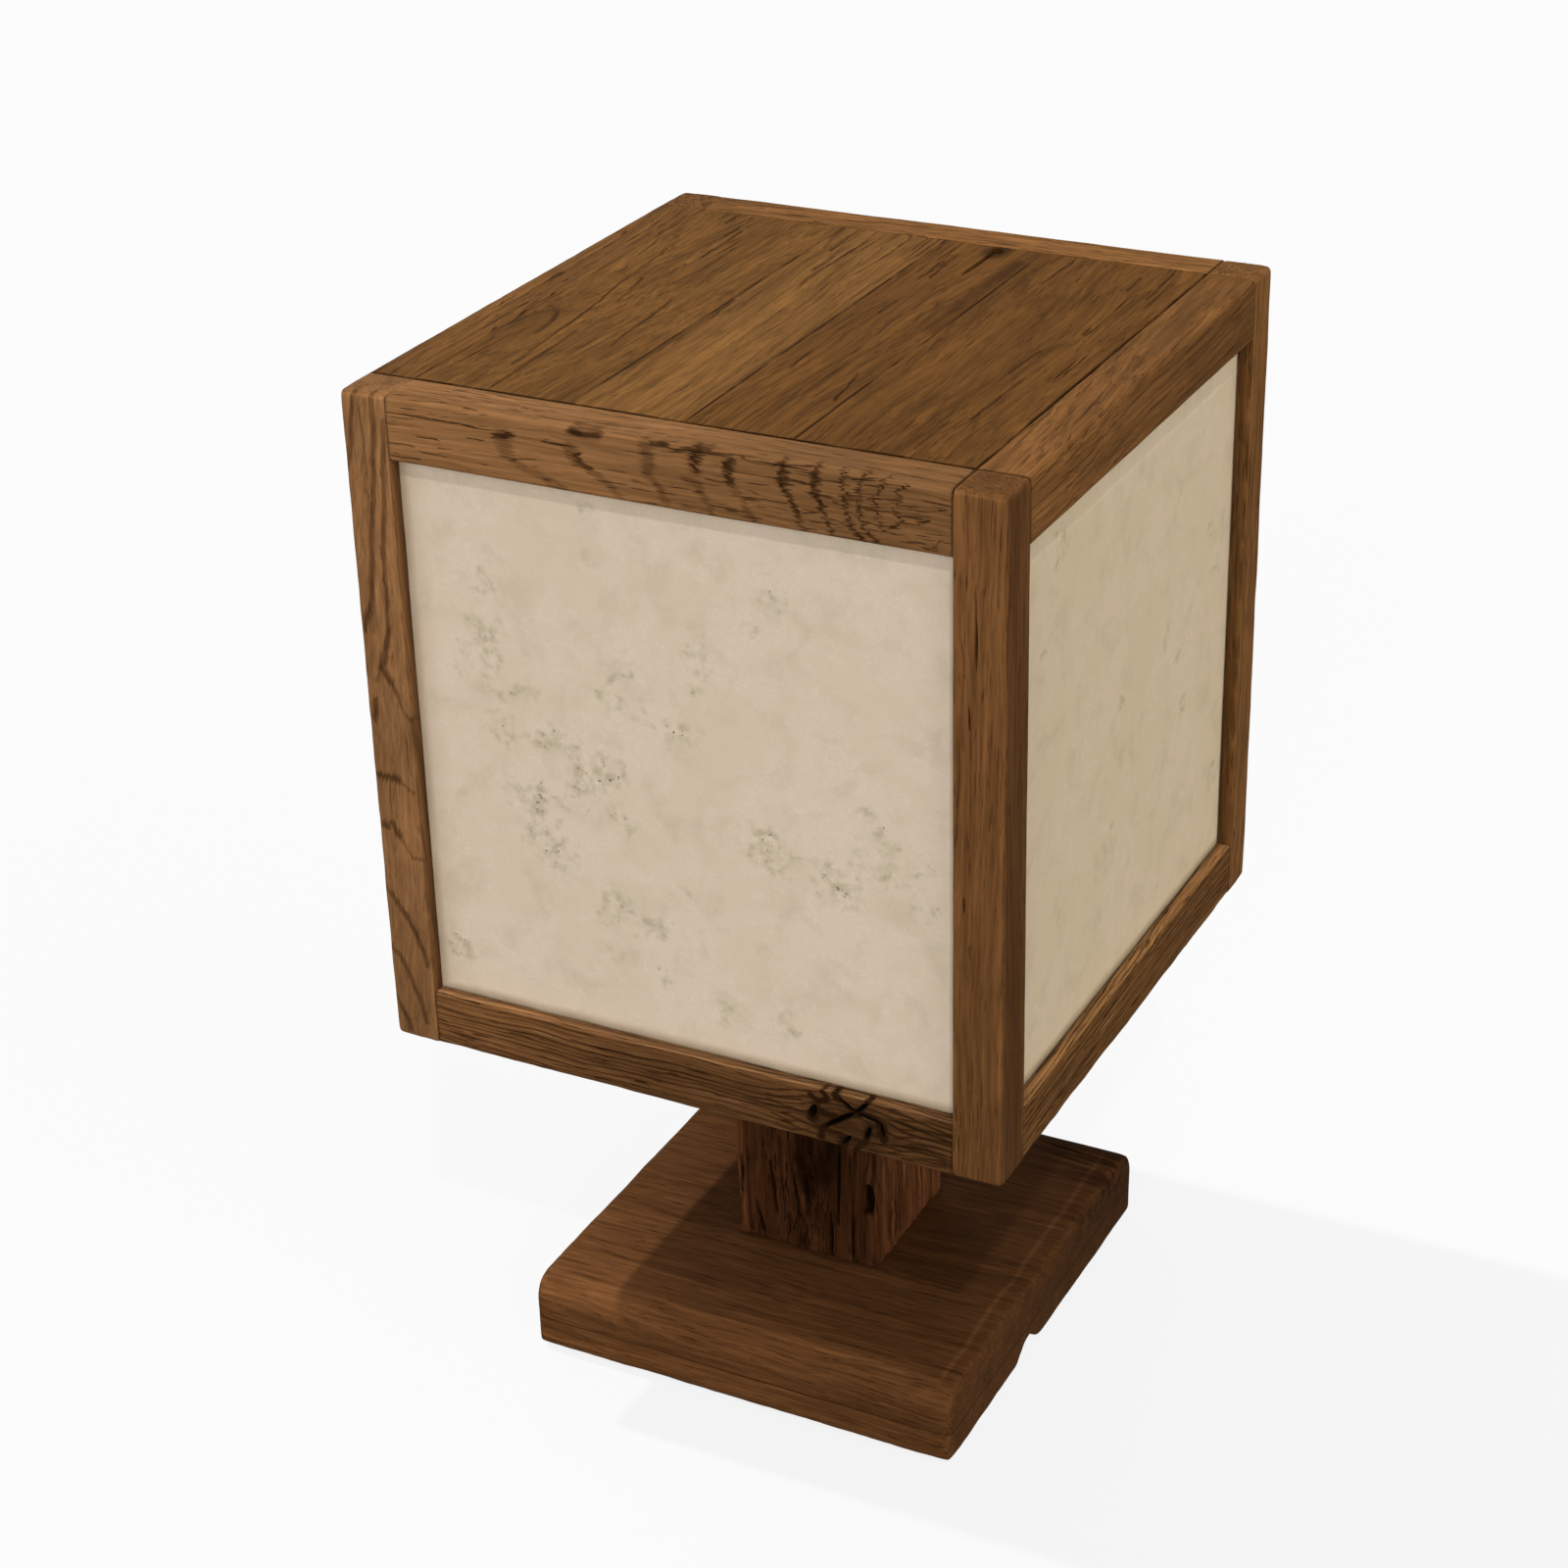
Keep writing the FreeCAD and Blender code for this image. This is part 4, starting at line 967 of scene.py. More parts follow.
LID_DARK = {
    1: [
        (0.5, 0.7, [
            (-108, 10, -106, -8, -103, -28, -102, -46), (-97, 118, -97, 92), (-92.5, 98, -92, 66),
            (-75, -2, -73.5, -24), (-92, -100, -92, -122), (-126, -46, -127, -60),
        ]),
    ],
    2: [
        (0.6, 0.8, [
            (-9, 127, -8, 108), (-6.5, 127, -5.5, 94), (-3, 127, -2.5, 100), (-33, 108, -34, 70),
            (-50.5, 8, -49, -12), (-51, 126, -50.5, 112),
        ]),
    ],
    3: [
        (0.6, 0.8, [(11, 96, 12, 78), (15, 92, 16, 76), (10, -36, 11, -54), (43, -70, 45, -84)]),
    ],
    4: [
        (0.7, 0.8, [(108.5, 44, 108.5, 29), (118.5, 8, 118.5, -18, 118, -28), (113.5, 120, 114.5, 100)]),
    ],
}
LID_KNOT_BOARD, LID_KNOT = 3, mm(29, 121, 500)


def lid_figure(board):
    """The figure of one lid board, with a knot in the one that has it."""
    def figure(recipe, place):
        drawn = drawn_place(recipe, place, "top", "Y", 0.0100)
        masks = {"lines": drawn_mark(recipe, place, drawn, LID_SOFT[board], scale=60),
                 "dark": drawn_mark(recipe, place, drawn, LID_DARK[board], scale=110)}
        if board == LID_KNOT_BOARD:
            x, y = knot_offset(recipe, place, LID_KNOT, "XY")
            knot = recipe.step(knot_shape(recipe, x, y, 0.0065, 0.0110), 1.5, 0.5)
            masks["dark"] = recipe.most(masks["dark"], recipe.times(knot, 0.85))
            masks["bulge"] = parting(recipe, x, y, 0.014, 0.040, 0.7)
        return masks

    return figure


# %% Knot of the post under the lantern
POST_DARK = [
    (1.2, 0.80, [
        (18.8, 110, 18.2, 90, 17.7, 75, 17.2, 62), (13.2, 66, 12.9, 50, 13.5, 41), (36, 108, 36, 86),
        (-19.4, 88, -17, 76, -16.3, 58), (-27, 62, -25, 50, -22.3, 42), (-34.5, 86, -34.8, 66),
        (25, 68, 25, 41), (-36, 62, -37, 46), (-6, 84, -4, 60),
    ]),
    (3.4, 0.85, [(33.7, 87, 33.7, 74)]),
    (5.0, 0.85, [(-3, 94, -1, 84, 1.5, 77)]),
    (2.2, 0.90, [(-4, 92, -2, 82, 1, 72, 1, 62), (2, 99, 4, 98.5), (1, 84, 5, 85.5)]),
]
POST_KNOT = mm(6.5, -39, 99)


def post_knot(recipe, place):
    x, z = knot_offset(recipe, place, POST_KNOT, "XZ")
    drawn = drawn_place(recipe, place, "post front", "Z", 0.0080)
    near = drawn[1]
    knot = recipe.times(recipe.step(knot_shape(recipe, x, z, 0.0150, 0.0200), 1.25, 0.6), near)
    knot = recipe.times(knot, recipe.spread(recipe.stretched(place, (420, 420, 90), detail=3), 0.25, 1.35))
    lines = drawn_mark(recipe, place, drawn, POST_DARK, scale=120, low=0.4)
    # Painted light makes the left edge and face much lighter, and the front face is made darker.
    lit_left_edge = recipe.step(recipe.split(place)[0], -0.030, -0.038)
    level = recipe.times(recipe.spread(near, 1.0, 0.50), recipe.spread(lit_left_edge, 1.0, 2.6))
    return {"bulge": parting(recipe, x, z, 0.013, 0.026, 0.6), "dark": recipe.most(knot, lines),
            "level": level}


# %% Edges of the slab
GLUE_LINE = 0.0190
CREST_INSIDE = 0.0105


def slab_figure(recipe, place):
    """A glue line, a pale crest along the front and right edges, partly a worn arris and partly painted
    light, a top lightened by painted light towards its outer edges, a stain and a foot darkened by painted
    shade.
    """
    x, y, z = recipe.split(place)
    wavy = recipe.plus(z, recipe.times(recipe.noise(place, scale=30), 0.0016))
    line = recipe.times(recipe.step(recipe.distance(wavy, GLUE_LINE + 0.0008), 0.0008, 0.0002), 0.55)
    layer = recipe.spread(recipe.step(z, GLUE_LINE + 0.0005, GLUE_LINE - 0.0005), 1.10, 1.24)
    upright = recipe.step(z, 0.034, 0.028)
    uneven = recipe.times(recipe.centred(recipe.noise(place, scale=38, detail=3)), 0.006)
    # The crest is partly a worn arris and partly painted light, where the lantern's shadow ends.
    to_front = recipe.minus(recipe.plus(y, uneven), SLAB_LOW.y + CREST_INSIDE)
    to_right = recipe.minus(SLAB_HIGH.x - CREST_INSIDE, recipe.plus(x, uneven))
    crest = recipe.step(recipe.math("ABSOLUTE", recipe.least(to_front, to_right)), 0.0022, 0.0003)
    # Painted light: the top is made lighter towards its outer edges, out of the lantern's shade.
    outwards = recipe.most(recipe.math("ABSOLUTE", x), recipe.times(y, -1.0))
    painted_edge_light = recipe.step(outwards, 0.060, 0.112)
    edge_light_level = recipe.plus(1.0, recipe.times(painted_edge_light, 0.25), recipe.times(crest, 0.55))
    streaks = recipe.stretched(place, (14, 190, 190), detail=2)
    stain = recipe.times(recipe.step(recipe.plus(x, y), 0.110, 0.200), recipe.step(z, 0.02, 0.036),
                         recipe.step(streaks, 0.42, 0.62), 0.8)
    # Painted shade along the foot of the slab.
    foot = recipe.times(recipe.step(z, 0.0055, 0.0025), 0.7)
    return {"dark": recipe.most(line, stain, foot), "level": recipe.mix_value(upright, edge_light_level, layer)}


# %% [markdown]
# ## The oak finish
# Every board is a different piece of a log, so each gets its own pith, ring width and colour, and the same
# recipe turns them into a finish. The pith's place and tilt decide the figure: far away and parallel gives
# straight grain, close and tilted gives pointed arches. Outer arrises are rubbed pale and seams hold dirt.
# The recesses round the panels get painted shade, and painted shade makes whatever lies deep in a crack
# nearly black.

# %% Log of a board
LOG_TURN = {"X": (0, pi / 2, 0), "Y": (-pi / 2, 0, 0), "Z": (0, 0, 0)}


def log_frame(recipe, place, grain, pith, turn, warp, seed):
    """A point's place in the log of its board, and how far it is from the pith."""
    angles = [first + radians(second) for first, second in zip(LOG_TURN[grain], turn)]
    mapping = recipe.add("ShaderNodeMapping", {"Vector": place, "Location": pith, "Rotation": angles},
                         vector_type="TEXTURE")
    wavy = recipe.group(WAVY_LOG, {"Log place": mapping.outputs[0], "Warp": warp, "Seed": seed})
    return wavy["Place"], wavy["Radius"]


# %% Oak finish
# The colour and strength of the painted shade deep in cracks.
CRACK_SHADE = colour(0.0080, 0.0040, 0.0018)
CRACK_SHADE_STRENGTH = 0.94
OAK_GLOSS = 0.010
LID_DIRT, JOINT_DIRT = 0.85, 0.40


def oak_finish(name, own, outer, grain, pith, turn, tone, ring=0.004, warp=0.010, jag=0.002, rings=0.55,
               gather=0.08, sparse=0.64, pores=0.85, streaks=0.55, fibres=0.95, wear=0.35, worn_within=0.0035,
               ends=0.72, fade=((0, 0, 1), 0.0), sides=(), joints=(), dirt=JOINT_DIRT, deep=(0.0016, 0.0028),
               recess_shade=0.45, seed=1.0, figure=None):
    """The finish of one board, from its own box, the box whose arrises are rubbed, and its log."""
    material, recipe, shader, coords = new_finish(f"Oak {name}", Specular_IOR_Level=OAK_GLOSS)
    place, normal = coords["Object"], coords["Normal"]
    light, dark = scaled(tone, 1.22), scaled(tone, 0.46, 0.42, 0.40)

    # Rings, pores and fibres of the log, and what the board's own figure adds to them.
    log, radius = log_frame(recipe, place, grain, pith, turn, warp, seed)
    own_figure = figure(recipe, place) if figure else {}
    own_level = own_figure.get("level", 1.0)
    band = own_figure.get("band")
    if band is None:
        band = recipe.group(GROWTH_RINGS, {"Radius": recipe.plus(radius, own_figure.get("bulge", 0.0)),
                                           "Log place": log, "Ring width": ring, "Jag": jag,
                                           "Seed": seed})["Band"]
    drawn = recipe.times(band, rings)
    if "lines" in own_figure:
        drawn = recipe.most(drawn, own_figure["lines"])
        band = recipe.most(band, own_figure["lines"])
    cells = recipe.group(OAK_PORES, {"Log place": log, "Band": band, "Gather": gather, "Sparse": sparse,
                                      "Seed": seed})

    # Levels: streaks, fibres, patches, a fade along the board, end grain, and painted shade in the recesses
    # round the panels.
    streak = recipe.spread(cells["Streak"], 1 - streaks, 1 + streaks)
    fibre = recipe.spread(cells["Fibre"], 1 - fibres, 1 + fibres)
    patch = recipe.spread(recipe.noise(place, scale=13, detail=2), 0.82, 1.18)
    direction, amount = fade
    along = recipe.vector("DOT_PRODUCT", recipe.vector("SUBTRACT", place, own[0]), direction)
    shift = recipe.plus(1.0, recipe.times(along, amount))
    grain_axis = tuple(1.0 if axis == grain else 0.0 for axis in "XYZ")
    end = recipe.math("ABSOLUTE", recipe.vector("DOT_PRODUCT", normal, grain_axis))
    end_level = recipe.spread(recipe.step(end, 0.45, 0.8), 1.0, ends)
    edges = recipe.group(ARRIS, {"Place": place, "Centre": outer[0], "Half size": outer[1]})
    # Painted shade: faces that lie deep inside the lantern's box, round the panels, are made darker.
    recess_shade_level = recipe.spread(recipe.step(edges["Depth"], 0.0018, 0.0075), 1.0, 1 - recess_shade)
    level = recipe.times(streak, fibre, patch, shift, own_level, end_level, recess_shade_level)
    tint = recipe.shaded(recipe.mix(drawn, light, dark), level)
    # Painted light and shade: faces that look one way are made lighter or darker, as the light falls on them.
    for facing, *levels in sides:
        side_light_share = recipe.step(recipe.vector("DOT_PRODUCT", normal, facing), 0.5, 0.85)
        tint = recipe.mix(side_light_share, tint, scaled((1, 1, 1), *levels), "MULTIPLY")

    # Rubbed arrises, dirty seams, open pores, drawn marks, and painted shade deep in cracks.
    open_sides = tuple(0.0 if axis in joints else 1.0 for axis in range(3))
    hollow = recipe.group(ARRIS, {"Place": place, "Centre": own[0], "Half size": own[1],
                                  "Open sides": open_sides})
    to_arris = recipe.least(edges["To arris"], hollow["To arris"])
    rubbed = recipe.times(recipe.step(to_arris, worn_within, worn_within / 5),
                          recipe.step(hollow["To joint"], 0.0005, 0.0030),
                          recipe.step(recipe.noise(place, scale=60, detail=3), 0.38, 0.66))
    tint = recipe.mix(recipe.times(rubbed, wear), tint, scaled(light, 1.45))
    seam = recipe.times(recipe.step(hollow["To joint"], 0.0012, 0.0003), dirt,
                        recipe.step(recipe.noise(place, scale=45, detail=2), 0.30, 0.56))
    dots = recipe.times(cells["Pores"], pores)
    stain = recipe.most(dots, seam, own_figure.get("dark", 0.0))
    tint = recipe.mix(stain, tint, recipe.shaded(scaled(dark, 0.42), own_level))
    # Painted shade: whatever lies deeper than the board's own faces, in a crack or a hidden rebate, is made
    # nearly black.
    tint = recipe.mix(recipe.times(recipe.step(hollow["Depth"], *deep), CRACK_SHADE_STRENGTH), tint, CRACK_SHADE)
    recipe.put(shader["Base Color"], tint)
    recipe.put(shader["Roughness"], recipe.spread(cells["Fibre"], 0.58, 0.82))
    height = recipe.plus(recipe.times(cells["Fibre"], 0.5), recipe.times(dots, -0.8),
                         recipe.times(band, -0.3))
    recipe.bump(shader, height, 0.6, 0.0006)
    return material


# %% [markdown]
# ## Which board is which
# The table lists the boards one by one: the way the grain runs, where the pith of its log lies, how the log
# is tilted, and its colour. A fade is a change of level along a direction, and on the slab it is painted
# shade from the lantern. Sides are painted light and shade: levels of the faces that look one way, such as
# the pale ledges of the bottom rails, the dark reveals of the posts and the lit right face of the post under
# the lantern. The left post and the front top rail are pale, the lid is browner, and the bottom rails, the
# post under the lantern and the slab are the darkest. The table after it says how worn they are.

# %% Timber table
LID_BOARD = dict(grain="Y", warp=0.014, rings=0.55, sparse=0.67, pores=0.5)
HIDDEN_BOTTOM_RAIL = dict(tone=(0.15, 0.066, 0.022), ring=0.0024, rings=1.3)
TIMBER = {
    "post_front_left": dict(
        grain="Z", pith=(-0.146, -0.120, 0.30), turn=(6.0, 2.0, 0), tone=(0.244, 0.1155, 0.0450),
        fade=((0, 0, 1), 0.95), rings=0.90, gather=0.05, sparse=0.67, pores=0.4, fibres=0.7, seed=3.1,
        sides=[((1, 0, 0), 0.60)], figure=left_post_figure,
    ),
    "post_front_right": dict(
        grain="Z", pith=(0.215, -0.060, 0.30), turn=(0, 0.6, 0), tone=(0.157, 0.0675, 0.0222), ring=0.0030,
        rings=0.45, sparse=0.66, pores=0.5, fibres=0.78, seed=7.7, fade=((0, 0, 1), 1.0),
        sides=[((1, 0, 0), 0.70)],
    ),
    "post_back_right": dict(
        grain="Z", pith=(0.060, 0.200, 0.30), turn=(0, -0.8, 0), tone=(0.21, 0.094, 0.030),
        sides=[((0, -1, 0), 0.45)], seed=11.3,
    ),
    "post_back_left": dict(
        grain="Z", pith=(-0.100, 0.170, 0.30), turn=(3, 1, 0), tone=(0.20, 0.088, 0.028), seed=15.9,
    ),
    "top_rail_front": dict(
        grain="X", pith=(0.107, -0.160, 0.485), turn=(0, 0, 0), tone=(0.222, 0.1045, 0.039), rings=1.0,
        gather=0.12, sparse=0.650, pores=0.75, fibres=0.75, wear=0.2, seed=19.2, fade=((1, 0, 0), -1.9),
        sides=[((0, 0, 1), 0.94)], figure=whorl,
    ),
    "top_rail_right": dict(
        grain="Y", pith=(0.170, 0.0, 0.440), turn=(2.0, 0, 3), tone=(0.18, 0.079, 0.0245), sparse=0.66,
        pores=0.55, streaks=0.7, wear=0.2, seed=23.4, fade=((0, 1, 0), -1.2), sides=[((0, 0, 1), 0.88)],
    ),
    "top_rail_back": dict(
        grain="X", pith=(0.0, 0.170, 0.450), turn=(0, 2, 1), tone=(0.20, 0.089, 0.028), seed=27.5,
    ),
    "top_rail_left": dict(
        grain="Y", pith=(-0.180, 0.05, 0.46), turn=(1, 0, 2), tone=(0.144, 0.064, 0.0185), seed=31.8,
    ),
    "bottom_rail_front": dict(
        grain="X", pith=(0.0, -0.115, 0.245), turn=(0, 1.0, 1.2), tone=(0.136, 0.060, 0.0215), ring=0.0019,
        rings=2.1, jag=0.0008, streaks=0.75, seed=35.1, fade=((1, 0, 0), -2.2), wear=0.55,
        deep=(0.0012, 0.0020), sides=[((0, 0, 1), 2.4, 2.8, 3.4)], figure=star_knot,
    ),
    "bottom_rail_right": dict(
        grain="Y", pith=(0.115, 0.0, 0.250), turn=(1.0, 0, 1.0), tone=(0.158, 0.072, 0.0235), ring=0.0020,
        rings=1.8, jag=0.0008, wear=0.6, sides=[((0, 0, 1), 2.3, 2.6, 3.1)], seed=39.6,
    ),
    "bottom_rail_back": dict(
        HIDDEN_BOTTOM_RAIL, grain="X", pith=(0.0, 0.110, 0.240), turn=(0, 1, -1), seed=43.3,
    ),
    "bottom_rail_left": dict(
        HIDDEN_BOTTOM_RAIL, grain="Y", pith=(-0.115, 0.0, 0.250), turn=(-1, 0, 1), seed=47.9,
    ),
    "lid_board_1": dict(
        LID_BOARD, pith=(-0.112, -0.02, 0.462), turn=(6, 0, 0), tone=(0.137, 0.0615, 0.0160), ring=0.0042,
        seed=51.2, figure=lid_figure(1),
    ),
    "lid_board_2": dict(
        LID_BOARD, pith=(-0.090, 0.0, 0.400), turn=(0.6, 0, 1.5), tone=(0.170, 0.0780, 0.0218), seed=55.7,
        figure=lid_figure(2),
    ),
    "lid_board_3": dict(
        LID_BOARD, pith=(0.090, 0.0, 0.420), turn=(-0.6, 0, -1.5), tone=(0.120, 0.0512, 0.0130), seed=59.4,
        figure=lid_figure(3),
    ),
    "lid_board_4": dict(
        LID_BOARD, pith=(0.090, 0.0, 0.380), turn=(0.8, 0, 1.0), tone=(0.117, 0.0500, 0.0126), seed=63.8,
        figure=lid_figure(4),
    ),
    "pedestal": dict(
        grain="Z", pith=(0.012, -0.020, 0.1), turn=(2, 2, 0), tone=(0.110, 0.040, 0.0145), ring=0.0045,
        rings=1.2, streaks=0.9, jag=0.004, deep=(0.0030, 0.0050), recess_shade=0.0, sides=[((1, 0, 0), 1.14)],
        seed=67.1, figure=post_knot,
    ),
    # The slab's fade is painted shade: darker to the back and the right, under the lantern, and lighter
    # towards the front left.
    "base_slab": dict(
        grain="X", pith=(0.0, 0.05, -0.10), turn=(0, 1, 1), tone=(0.0800, 0.0325, 0.0110), ring=0.006,
        rings=0.3, sparse=0.66, pores=0.5, streaks=0.45, fibres=0.95, wear=0.5, worn_within=0.004, ends=0.9,
        deep=(0.0060, 0.0085), recess_shade=0.0, seed=71.6, fade=((-0.75, -1.0, 0), 2.2), figure=slab_figure,
    ),
}

# %% Worn boards
FINE, MIDDLE, SQUARE_POST, COARSE = 0.0009, 0.0012, 0.0013, 0.0016
VOXEL = {"base_slab": COARSE, "pedestal": SQUARE_POST, "bottom_rail_front": FINE, "bottom_rail_right": FINE}
PLANED = dict(rub=0.0006, ridge=0.00025, hollow=0.0003)
WEATHERED = dict(rub=0.0009, ridge=0.0008, hollow=0.0004)
WORN = {f"bottom_rail_{side}": WEATHERED for side in ("front", "right", "back", "left")}
WORN["base_slab"] = dict(rub=0.0012, ridge=0.0, hollow=0.0006)
WORN["pedestal"] = dict(rub=0.0020, ridge=0.0014, hollow=0.0010)
CREASE = radians(40)

timber = {}
for node, board in TIMBER.items():
    piece = worn_copy(node, board["grain"], VOXEL.get(node, MIDDLE), **WORN.get(node, PLANED))
    for face, rows in CRACKS.get(node, {}).items():
        for row in rows:
            cut_crack(piece, face, row)
    make_active(piece)
    bpy.ops.object.shade_smooth_by_angle(angle=CREASE)
    piece.data.materials.clear()
    dirt = LID_DIRT if node.startswith("lid") else JOINT_DIRT
    finish = oak_finish(node, shown_box(node), outer_box(node), joints=joint_axes(node, board["grain"]),
                        dirt=dirt, **board)
    piece.data.materials.append(finish)
    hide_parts(node)
    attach(piece, "lamp")
    timber[node] = piece
print(len(timber), "worn boards,", sum(len(piece.data.polygons) for piece in timber.values()), "faces")

# %% [markdown]
# ## Parchment
# The panels are stiff sheets of parchment: cream, clouded, with pale fibres that lie about in swirls and with
# small groups of grey-brown flecks. The solids have the right shape, so they stay and get a finish. The
# flecks of the front panel sit where the photograph shows them, and the other panels have groups of the same
# kind.

# %% Flecks
# Each group of flecks: across and up its panel, and its reach, in millimetres.
FLECKS = {
    "front": (
        (-92, 397, 8), (-101, 387, 3), (-86, 387, 5), (-105, 376, 3), (-92, 380, 5), (-74, 373, 5),
        (-66, 374, 4), (-88, 365, 4), (-81, 352, 6), (-91, 351, 4), (-62, 353, 7), (-52, 353, 5),
        (-28, 393, 6), (-34, 383, 6), (-27, 373, 4), (-18, 372, 5), (1, 368, 8), (11, 405, 6), (10, 390, 5),
        (-42, 341, 9), (-34, 345, 8), (-49, 336, 7), (-68, 321, 10), (-80, 324, 5), (-49, 327, 4),
        (-73, 306, 6), (-62, 298, 8), (-30, 321, 5), (39, 322, 9), (50, 318, 5), (64, 318, 6),
        (72, 311, 10), (80, 326, 5), (87, 345, 6), (98, 336, 6), (94, 322, 7), (112, 332, 4), (114, 308, 5),
        (-33, 280, 6), (-38, 270, 5), (-16, 271, 6), (-34, 256, 5), (-11, 248, 4), (19, 238, 5),
        (1, 293, 5), (46, 240, 6), (-37, 464, 5), (-39, 438, 4), (-90, 421, 6), (35, 426, 5), (46, 437, 5),
        (-118, 238, 7),
    ),
    "right": (
        (-77, 453, 6), (101, 391, 4), (-5, 348, 5), (72, 316, 6), (67, 343, 5), (9, 316, 4), (110, 367, 5),
        (-89, 412, 4), (-18, 287, 5), (48, 359, 4), (116, 258, 6),
    ),
    "back": (
        (70, 396, 8), (58, 382, 5), (48, 350, 9), (36, 344, 6), (-40, 310, 9), (-52, 322, 5), (-86, 420, 7),
        (-70, 408, 5), (12, 262, 8), (24, 250, 5), (96, 300, 5), (-100, 280, 6), (0, 440, 5),
    ),
    "left": (
        (-60, 410, 8), (-48, 398, 5), (34, 348, 9), (46, 336, 6), (88, 286, 8), (76, 300, 5), (-20, 270, 7),
        (-94, 330, 6), (10, 440, 5), (-66, 250, 6),
    ),
}
FLECK_TEAR = (0.034, 0.034, 0.0)


def fleck_groups(recipe, flat, place, side):
    """1 in the middle of a group of flecks and 0 outside its ragged outline."""
    ragged = recipe.join(recipe.noise(flat, scale=130, detail=5),
                         recipe.noise(place, scale=130, detail=5), 0.5)
    moved = recipe.vector("MULTIPLY", recipe.vector("SUBTRACT", ragged, (0.5, 0.5, 0.5)), FLECK_TEAR)
    torn = recipe.vector("ADD", flat, moved)
    near = 0.0
    for across, up, reach in FLECKS[side]:
        away = recipe.vector("DISTANCE", torn, mm(across, up, 0))
        strength = min(1.0, 0.40 + 0.06 * reach)
        near = recipe.most(near, recipe.times(recipe.step(away, 0.0016 * reach, 0.0), strength))
    return near


# %% Edges of a panel
PANEL_LOW, PANEL_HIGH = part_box("bottom_rail_front")[1].z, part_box("top_rail_front")[0].z


def panel_edge_shade(recipe, flat, across, up):
    """Painted shade along a panel's left side and its foot, beside the post and above the ledge."""
    to_side = recipe.plus(across, FRAME_INSIDE)
    beside_shade = recipe.plus(recipe.times(recipe.step(to_side, 0.0150, 0.0), 0.38),
                         recipe.times(recipe.step(to_side, 0.0050, 0.0), 0.55))
    below_shade = recipe.step(recipe.minus(up, PANEL_LOW), 0.0048, -0.0010)
    uneven = recipe.spread(recipe.noise(flat, scale=60, detail=2), 0.6, 1.2)
    return recipe.times(recipe.most(beside_shade, below_shade), uneven)


# %% Parchment finish
# Painted light: the right panel is tinted warmer, as the light falls on it from the right.
SIDE_LIGHT_TINT = {"right": (1.03, 1.00, 0.89)}
TOP_PAINTED_LIGHT = {"right": 1.09}
CREAM, CLOUD, FIBRE_WHITE = (0.866, 0.709, 0.545), (0.840, 0.690, 0.505), (0.94, 0.80, 0.635)
SMUDGE, FLECK_GREY = (0.53, 0.445, 0.290), colour(0.19, 0.140, 0.080)


def parchment_finish(side):
    """Clouds, strands, smudges, flecks, painted shade at the edges and painted light at the top, one over the
    other.
    """
    material, recipe, shader, coords = new_finish(f"Parchment {side}", Specular_IOR_Level=0.08, Roughness=0.7)
    place = coords["Object"]
    tones = (scaled(tone, *SIDE_LIGHT_TINT.get(side, (1, 1, 1))) for tone in (CREAM, CLOUD, FIBRE_WHITE, SMUDGE))
    cream, cloudy, white, smudged = tones
    x, y, z = recipe.split(place)
    across = x if side in ("front", "back") else y
    flat = recipe.join(across, z, 0.0)
    cloud = recipe.plus(recipe.times(recipe.noise(flat, scale=22, detail=4, distortion=0.6), 0.6),
                        recipe.times(recipe.noise(flat, scale=130, detail=3), 0.4))
    tint = recipe.mix(recipe.step(cloud, 0.38, 0.62), cream, cloudy)
    swirl = recipe.noise(flat, scale=75, detail=3, roughness=0.6, distortion=2.2)
    strands = recipe.step(recipe.distance(swirl, 0.5), 0.035, 0.004)
    tint = recipe.mix(recipe.times(strands, recipe.step(cloud, 0.66, 0.42), 0.40), tint, white)
    smoke = recipe.step(recipe.noise(flat, scale=48, detail=5, roughness=0.62, distortion=0.4), 0.46, 0.74)
    tint = recipe.mix(recipe.times(smoke, 0.28), tint, smudged)
    near = fleck_groups(recipe, flat, place, side)
    smudge = recipe.times(near, recipe.step(recipe.noise(flat, scale=210, detail=4), 0.36, 0.66))
    tint = recipe.mix(recipe.times(smudge, 0.92), tint, smudged)
    specks = recipe.minus(recipe.noise(flat, scale=390, detail=3, roughness=0.65),
                          recipe.spread(near, 0.80, 0.532))
    tint = recipe.mix(recipe.times(recipe.step(specks, 0.0, 0.08), 0.95), tint, FLECK_GREY)
    # Painted shade where the left post and the ledge shade the panel.
    tint = recipe.mix(panel_edge_shade(recipe, flat, across, z), tint, scaled(cloudy, 0.55, 0.50, 0.44))
    # Painted light: the band under the right panel's top rail is made paler, where the front right light's
    # shadow falls.
    above = recipe.step(recipe.minus(PANEL_HIGH, z), 0.0175, 0.0150)
    tint = recipe.mix(above, tint, scaled((1, 1, 1), TOP_PAINTED_LIGHT.get(side, 1.0)), "MULTIPLY")
    recipe.put(shader["Base Color"], tint)
    recipe.bump(shader, recipe.plus(recipe.times(strands, 0.4), recipe.times(cloud, 0.8)), 0.25, 0.0005)
    return material


for side in FLECKS:
    frame["nodes"][f"panel_{side}"].data.materials[0] = parchment_finish(side)
print(len(FLECKS), "parchment panels,", sum(len(groups) for groups in FLECKS.values()), "groups of flecks")

# %% [markdown]
# ## Inside the lantern
# The beads behind the panels and the bearer across the bottom are new, straight oak, so they take the oak
# finish with a far pith and no wear. The lampholder and the bulb show only from below or with a panel out.
# Turned and stamped metal has fine lines round its axis and dull spots, and both come from one group for
# steel and brass.

